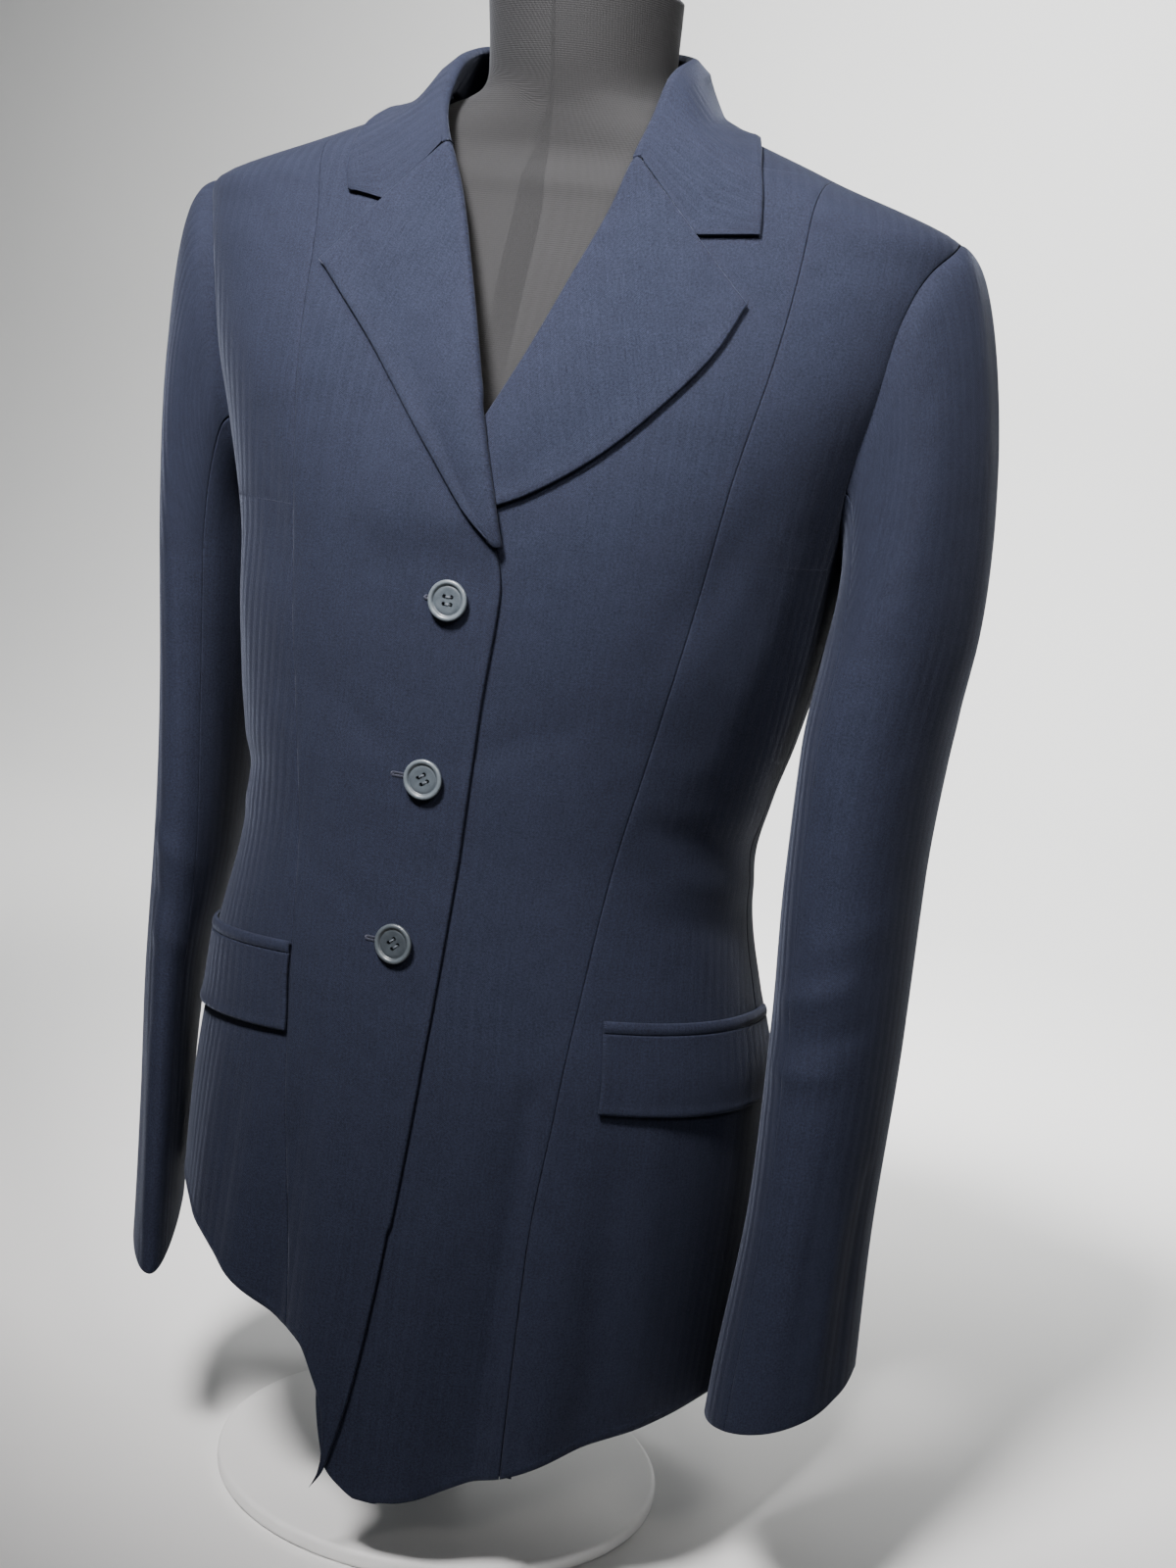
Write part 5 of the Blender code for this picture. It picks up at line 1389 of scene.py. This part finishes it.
def make_strip(node, side, low, high, lift, rows, columns, crown, bow):
    start, top, rise, _ = FLAP_ROWS[side]
    upward = spread(high - low, rows, FREE_RIM, FREE_RIM)[0] / (high - low)
    sideways = spread(FLAP_LENGTH, columns, FREE_RIM, FREE_RIM)[0] / FLAP_LENGTH
    t, share = np.meshgrid(upward, sideways, indexing="ij")
    height = top + rise * share + low + (high - low) * t
    along = along_at_out(np.array(top), np.array(start), side) + FLAP_LENGTH * share
    raised = lift + WALL / 2 + crown * np.sin(math.pi * t) + bow * (1 - t) ** 2 * np.sin(math.pi * share)
    middle, normal = body_point(height, along, SIGN[side], raised)
    rims = (FREE_RIM,) * 4
    relief = edge_relief((high - low) * t, FREE_RIM) * (1 if crown == 0 else 0)
    relief = relief + edge_relief(FLAP_LENGTH * share, FREE_RIM) * STRIP_SIDE_RELIEF
    uv = np.stack([along, height], axis=-1)
    piece = shell("cloth_" + node, middle, normal, uv, rims, WOOL, relief)
    return dress_cloth(piece, node)


def make_pockets():
    for side in ("right", "left"):
        flap = -FLAP_ROWS[side][3], 0.0, FLAP_LIFT, 30, 64, 0.0, FLAP_BOW
        welt = SEAM_GAP, WELT_WIDTH, FLAP_LIFT, 14, 64, WELT_CROWN, 0.0
        make_strip("pocket_flap_" + side, side, *flap)
        make_strip("pocket_welt_" + side, side, *welt)


# Buttons and buttonholes
SPINS = {"button_top": 0.0, "button_middle": 34.0, "button_bottom": 42.0}
TILTS = {"button_top": (0.0, 0.0), "button_middle": (1.5, 0.0), "button_bottom": (3.0, -3.5)}
# A button's outline in shares of its radius and thickness: foot, turned side, rim and dished face
BUTTON_FOOT = ((0.001, 0.0), (0.70, 0.0), (0.80, 0.10))
BUTTON_SIDE = ((0.80, 0.50), (0.20, 0.40), (-1.0708, -0.5708, -0.0008))
BUTTON_RIM = ((0.885, 0.72), (0.115, 0.28), (0.0, 0.4, 0.8, 1.2, 1.57, 2.0, 2.4, 2.8))
BUTTON_FACE = (
    (0.745, 0.70), (0.725, 0.645), (0.70, 0.63), (0.67, 0.68), (0.60, 0.72), (0.45, 0.68), (0.001, 0.62),
)
BUTTON_FLOOR = 0.72

# Threads through the buttons, and the close stitches round the buttonholes
THREAD_RADIUS = 0.00021
THREAD_SHIFT = 0.00022
THREAD_REACH = 0.86
THREAD_PROUD = 0.0001
THREAD_DIP = 0.0020
STITCH_RADIUS = 0.00030
STITCH_ARCH = 0.00020
STITCH_PROUD = 0.00010
SLIT_HALF = 0.00025
BUTTONHOLE_START = -0.004
BUTTONHOLE_END = {"button_top": 0.0125, "button_middle": 0.0175, "button_bottom": 0.0160}
STITCH_PITCH = 0.00060
STITCH_REACH = 0.0013


def button_place(name):
    """Where a button sits, as a matrix with its axis out of the cloth."""
    height, along = BUTTONS[name]
    lift = front_lift("right", np.array(height), np.array(along))
    place, out = body_point(height, along, SIGN["right"], lift + WALL + BUTTON_SHANK)
    sideways = unit(np.cross([0.0, 0.0, 1.0], out))
    upward = np.cross(out, sideways)
    rows = np.stack([sideways, upward, out, place], axis=1).tolist()
    matrix = Matrix(rows + [[0, 0, 0, 1]])
    tilt_x, tilt_y = (math.radians(v) for v in TILTS[name])
    spin = Matrix.Rotation(math.radians(SPINS[name]), 4, "Z")
    return matrix @ Matrix.Rotation(tilt_x, 4, "X") @ Matrix.Rotation(tilt_y, 4, "Y") @ spin


def tube(points, radius, sides=8):
    """Points and faces of a closed tube along a line."""
    points = np.asarray(points, dtype=float)
    along = unit(np.gradient(points, axis=0))
    helper = np.where(np.abs(along[:, 2:3]) < 0.8, [[0.0, 0.0, 1.0]], [[1.0, 0.0, 0.0]])
    one = unit(np.cross(along, helper))
    two = np.cross(along, one)
    angles = np.linspace(0.0, 2 * math.pi, sides, endpoint=False)[None, :, None]
    rings = points[:, None] + radius * (np.cos(angles) * one[:, None] + np.sin(angles) * two[:, None])
    count = len(points)
    faces = ring_faces(count, sides)
    faces.append(tuple(range(sides))[::-1])
    faces.append(tuple((count - 1) * sides + i for i in range(sides)))
    return rings.reshape(-1, 3), faces


def joined(name, parts, material):
    """One mesh from several lots of points and faces."""
    points, faces, start = [], [], 0
    for some_points, some_faces in parts:
        points.append(some_points)
        faces += [tuple(start + k for k in face) for face in some_faces]
        start += len(some_points)
    points = np.concatenate(points)
    return build_mesh(name, points, faces, points[:, [0, 2]], material)


def cut_holes(button, name):
    bm = bmesh.new()
    for sx in (-1, 1):
        for sy in (-1, 1):
            hole = bmesh.ops.create_cone(
                bm, cap_ends=True, segments=20, radius1=BUTTON_HOLE_RADIUS,
                radius2=BUTTON_HOLE_RADIUS, depth=4 * BUTTON_THICKNESS,
            )
            shift = (sx * BUTTON_HOLE_SPACING, sy * BUTTON_HOLE_SPACING, 0.0)
            bmesh.ops.translate(bm, verts=hole["verts"], vec=shift)
    mesh = bpy.data.meshes.new(name + "_drill")
    bm.to_mesh(mesh)
    bm.free()
    drill = bpy.data.objects.new(name + "_drill", mesh)
    bpy.context.scene.collection.objects.link(drill)
    cut = button.modifiers.new("holes", "BOOLEAN")
    cut.object = drill
    shown = button.evaluated_get(bpy.context.evaluated_depsgraph_get())
    result = bpy.data.meshes.new_from_object(shown)
    button.modifiers.clear()
    button.data = result
    bpy.data.objects.remove(drill, do_unlink=True)
    result.shade_smooth()
    result.set_sharp_from_angle(angle=math.radians(50))


def make_button(name):
    radius, thick = BUTTON_RADIUS, BUTTON_THICKNESS
    shares = [*BUTTON_FOOT, *arc(*BUTTON_SIDE), *arc(*BUTTON_RIM), *BUTTON_FACE]
    profile = [(radius * out, thick * up) for out, up in shares]
    # The bottom button takes the darker horn copy, whose colour holds painted shade
    material = HORN_PAINTED_SHADE if name == "button_bottom" else HORN
    button = lathe("turned_" + name, profile, material, segments=72)
    cut_holes(button, name)
    place = button_place(name)
    button.data.transform(place)
    dress(button, "slate_horn", name)
    parts = []
    step = BUTTON_HOLE_SPACING
    for sy in (-1, 1):
        for shift in (-THREAD_SHIFT, THREAD_SHIFT):
            t = np.linspace(-1.0, 1.0, 13)
            rise = thick * BUTTON_FLOOR + THREAD_PROUD - THREAD_DIP * np.abs(t) ** 4
            line = np.stack([t * step * THREAD_REACH, sy * step + shift * (1 - 0.3 * t * t), rise], axis=-1)
            parts.append(tube(line, THREAD_RADIUS))
    thread = joined("thread_" + name, parts, SLATE_THREAD)
    thread.data.transform(place)
    dress(thread, "slate_horn")


def make_buttonhole(name):
    """Close stitches round a slit beside the button, standing a little proud of the cloth."""
    height, along = BUTTONS[name]
    end = BUTTONHOLE_END[name]
    parts = []
    count = int((end - BUTTONHOLE_START) / STITCH_PITCH)
    for k in range(count + 1):
        reach = along + BUTTONHOLE_START + k * STITCH_PITCH
        for way in (-1, 1):
            parts.append(stitch(height + way * SLIT_HALF, reach, height + way * STITCH_REACH, reach))
    for k in range(7):
        turn = math.pi * k / 6 - math.pi / 2
        far = along + end + STITCH_REACH * math.cos(turn)
        parts.append(stitch(height, along + end, height + STITCH_REACH * math.sin(turn), far))
    piece = joined("buttonhole_" + name, parts, THREAD)
    return dress(piece, "navy_wool")


def stitch(from_height, from_along, to_height, to_along):
    t = np.linspace(0.0, 1.0, 5)
    height = from_height + (to_height - from_height) * t
    along = from_along + (to_along - from_along) * t
    lift = front_lift("right", height, along) + WALL + STITCH_ARCH * np.sin(math.pi * t) + STITCH_PROUD
    line, _ = body_point(height, along, SIGN["right"], lift)
    return tube(line, STITCH_RADIUS, 6)


# Dress form and stand
TORSO_FOOT = 0.020
FORM_SEAM_DEPTH = 0.006
FORM_SEAM_BREADTH = 0.0016
AXIS_RADIUS = 0.0005


def make_form():
    segments = 144
    heights = np.concatenate([
        TORSO_BOTTOM + TORSO_FOOT * np.array([0.0, 0.15, 0.4, 0.7]),
        np.linspace(TORSO_BOTTOM + TORSO_FOOT, ARMHOLE_TOP, 90),
        np.linspace(ARMHOLE_TOP, TORSO_TOP, 60)[1:],
    ])
    half_width, front, back, roundness, middle = FORM.at(heights[:, None], *FORM_COLUMNS[1:])
    angle = np.linspace(0.0, 2 * math.pi, segments, endpoint=False)
    power = 2 / roundness
    x = half_width * np.sign(np.sin(angle)) * np.abs(np.sin(angle)) ** power
    y = -np.sign(np.cos(angle)) * np.abs(np.cos(angle)) ** power
    y = y * np.where(y < 0, front, back)
    seam = 1 - FORM_SEAM_DEPTH * np.exp(-((x / FORM_SEAM_BREADTH) ** 2))
    level = np.repeat(heights[:, None], segments, axis=1)
    rings = np.stack([x * seam + middle, y * seam, level], axis=-1)
    dress(skin("jersey_torso", rings, JERSEY), "black_jersey", "form_torso")
    neck = FORM.at(TORSO_TOP, "half_width")
    rise = NECK_CAP_TOP - TORSO_TOP - SEAM_GAP
    edge = NECK_CAP_SHARE * neck
    wall = rise * NECK_CAP_WALL
    cap = [(AXIS_RADIUS, 0.0), (edge * 0.97, 0.0), (edge, rise * 0.06), (edge, wall)]
    cap += arc((0.0, wall), (edge, rise - wall), np.linspace(0.1, 1.5, 12))
    centre = (float(FORM.at(TORSO_TOP, "middle")), 0.0, TORSO_TOP + SEAM_GAP)
    dress(lathe("jersey_neck_cap", cap, JERSEY, centre, 128), "black_jersey", "form_neck_cap")
    low, high = BASE_THICKNESS + SEAM_GAP, TORSO_BOTTOM - SEAM_GAP
    post = [(AXIS_RADIUS, low), (POST_RADIUS, low), (POST_RADIUS, high), (AXIS_RADIUS, high)]
    dress(lathe("turned_post", post, METAL, segments=64), "pale_metal", "form_post")
    flat, rounding = BASE_RADIUS - BASE_EDGE, (BASE_EDGE, BASE_EDGE)
    base = [(AXIS_RADIUS, 0.0), (flat, 0.0)]
    base += arc((flat, BASE_EDGE), rounding, (-1.0, -0.5, 0.0))
    base += arc((flat, BASE_THICKNESS - BASE_EDGE), rounding, (0.0, 0.5, 1.0))
    base += [(flat, BASE_THICKNESS), (AXIS_RADIUS, BASE_THICKNESS)]
    dress(lathe("turned_base", base, METAL, segments=128), "pale_metal", "form_base")


# Studio
FLOOR_TONE = (0.80, 0.80, 0.79)
FLOOR_REACH = 5.0
WALL_AT = 2.6
WALL_BEND = 0.8
WALL_HEIGHT = 5.0
AIR_COLOUR = (0.90, 0.94, 1.0, 1.0)
AIR_STRENGTH = 0.10

# Lights: place, target, width, power, colour and spread in degrees
LIGHTS = {
    "key": ((-0.28, -1.15, 2.00), (-0.03, -0.05, 0.74), 0.50, 8.4, (1.0, 0.97, 0.97), 36.0),
    "fill": ((1.15, -1.35, 1.90), (0.17, 0.0, 0.81), 0.60, 1.9, (1.0, 0.94, 0.88), 27.0),
    "back": ((0.20, 0.75, 2.30), (0.0, 2.20, 0.55), 1.60, 70.0, (1.0, 1.0, 1.0), 110.0),
}


def make_stage():
    """A pale floor that curves up into a back wall."""
    n = Nodes("studio_paper", 0.9)
    coordinate = n.object_place()
    n.tone(tuple(0.97 * c for c in FLOOR_TONE), FLOOR_TONE, n.noise(coordinate, 3.0))
    profile = [(-FLOOR_REACH, 0.0), (WALL_AT - WALL_BEND, 0.0)]
    turns = np.linspace(0.1, 1.5, 12) - math.pi / 2
    profile += arc((WALL_AT - WALL_BEND, WALL_BEND), (WALL_BEND, WALL_BEND), turns)
    profile.append((WALL_AT, WALL_HEIGHT))
    points = np.array([[x, y, z] for y, z in profile for x in (-FLOOR_REACH, FLOOR_REACH)])
    faces = grid_faces(len(profile), 2).tolist()
    floor = build_mesh("studio_floor", points, faces, points[:, :2], n.material)


def area_light(name, place, target, size, power, colour, spread):
    light = bpy.data.lights.new(name, "AREA")
    light.shape = "DISK"
    light.size = size
    light.energy = power
    light.color = colour
    light.spread = math.radians(spread)
    lamp = bpy.data.objects.new(name, light)
    lamp.location = place
    lamp.rotation_euler = (Vector(target) - Vector(place)).to_track_quat("-Z", "Y").to_euler()
    bpy.context.scene.collection.objects.link(lamp)


def make_lights():
    for name, values in LIGHTS.items():
        area_light(name, *values)
    world = bpy.data.worlds.new("studio_air")
    world.use_nodes = True
    background = world.node_tree.nodes["Background"]
    background.inputs["Color"].default_value = AIR_COLOUR
    background.inputs["Strength"].default_value = AIR_STRENGTH
    bpy.context.scene.world = world


CAMERA_PLACE = (0.400, -1.138, 0.609)
CAMERA_YAW = 17.46
CAMERA_PITCH = 8.89
CAMERA_ROLL = 6.93
SENSOR = 36.0
FOCAL_SHARE = 2200 / 1600


def make_camera():
    yaw, pitch, roll = (math.radians(v) for v in (CAMERA_YAW, CAMERA_PITCH, CAMERA_ROLL))
    forward = Vector((-math.sin(yaw) * math.cos(pitch), math.cos(yaw) * math.cos(pitch), -math.sin(pitch)))
    level = forward.cross(Vector((0.0, 0.0, 1.0))).normalized()
    upright = level.cross(forward)
    right = math.cos(roll) * level + math.sin(roll) * upright
    up = -math.sin(roll) * level + math.cos(roll) * upright
    data = bpy.data.cameras.new("camera")
    data.sensor_width = SENSOR
    data.lens = SENSOR * FOCAL_SHARE
    camera = bpy.data.objects.new("camera", data)
    camera.matrix_world = Matrix([
        [right[k], up[k], -forward[k], CAMERA_PLACE[k]] for k in range(3)
    ] + [[0, 0, 0, 1]])
    bpy.context.scene.collection.objects.link(camera)
    bpy.context.scene.camera = camera


make_camera()
make_stage()
make_lights()
make_body()
make_sleeves()
make_lapel("right")
make_lapel("left")
make_collar()
make_pockets()
for button_name in BUTTONS:
    make_button(button_name)
    make_buttonhole(button_name)
make_form()
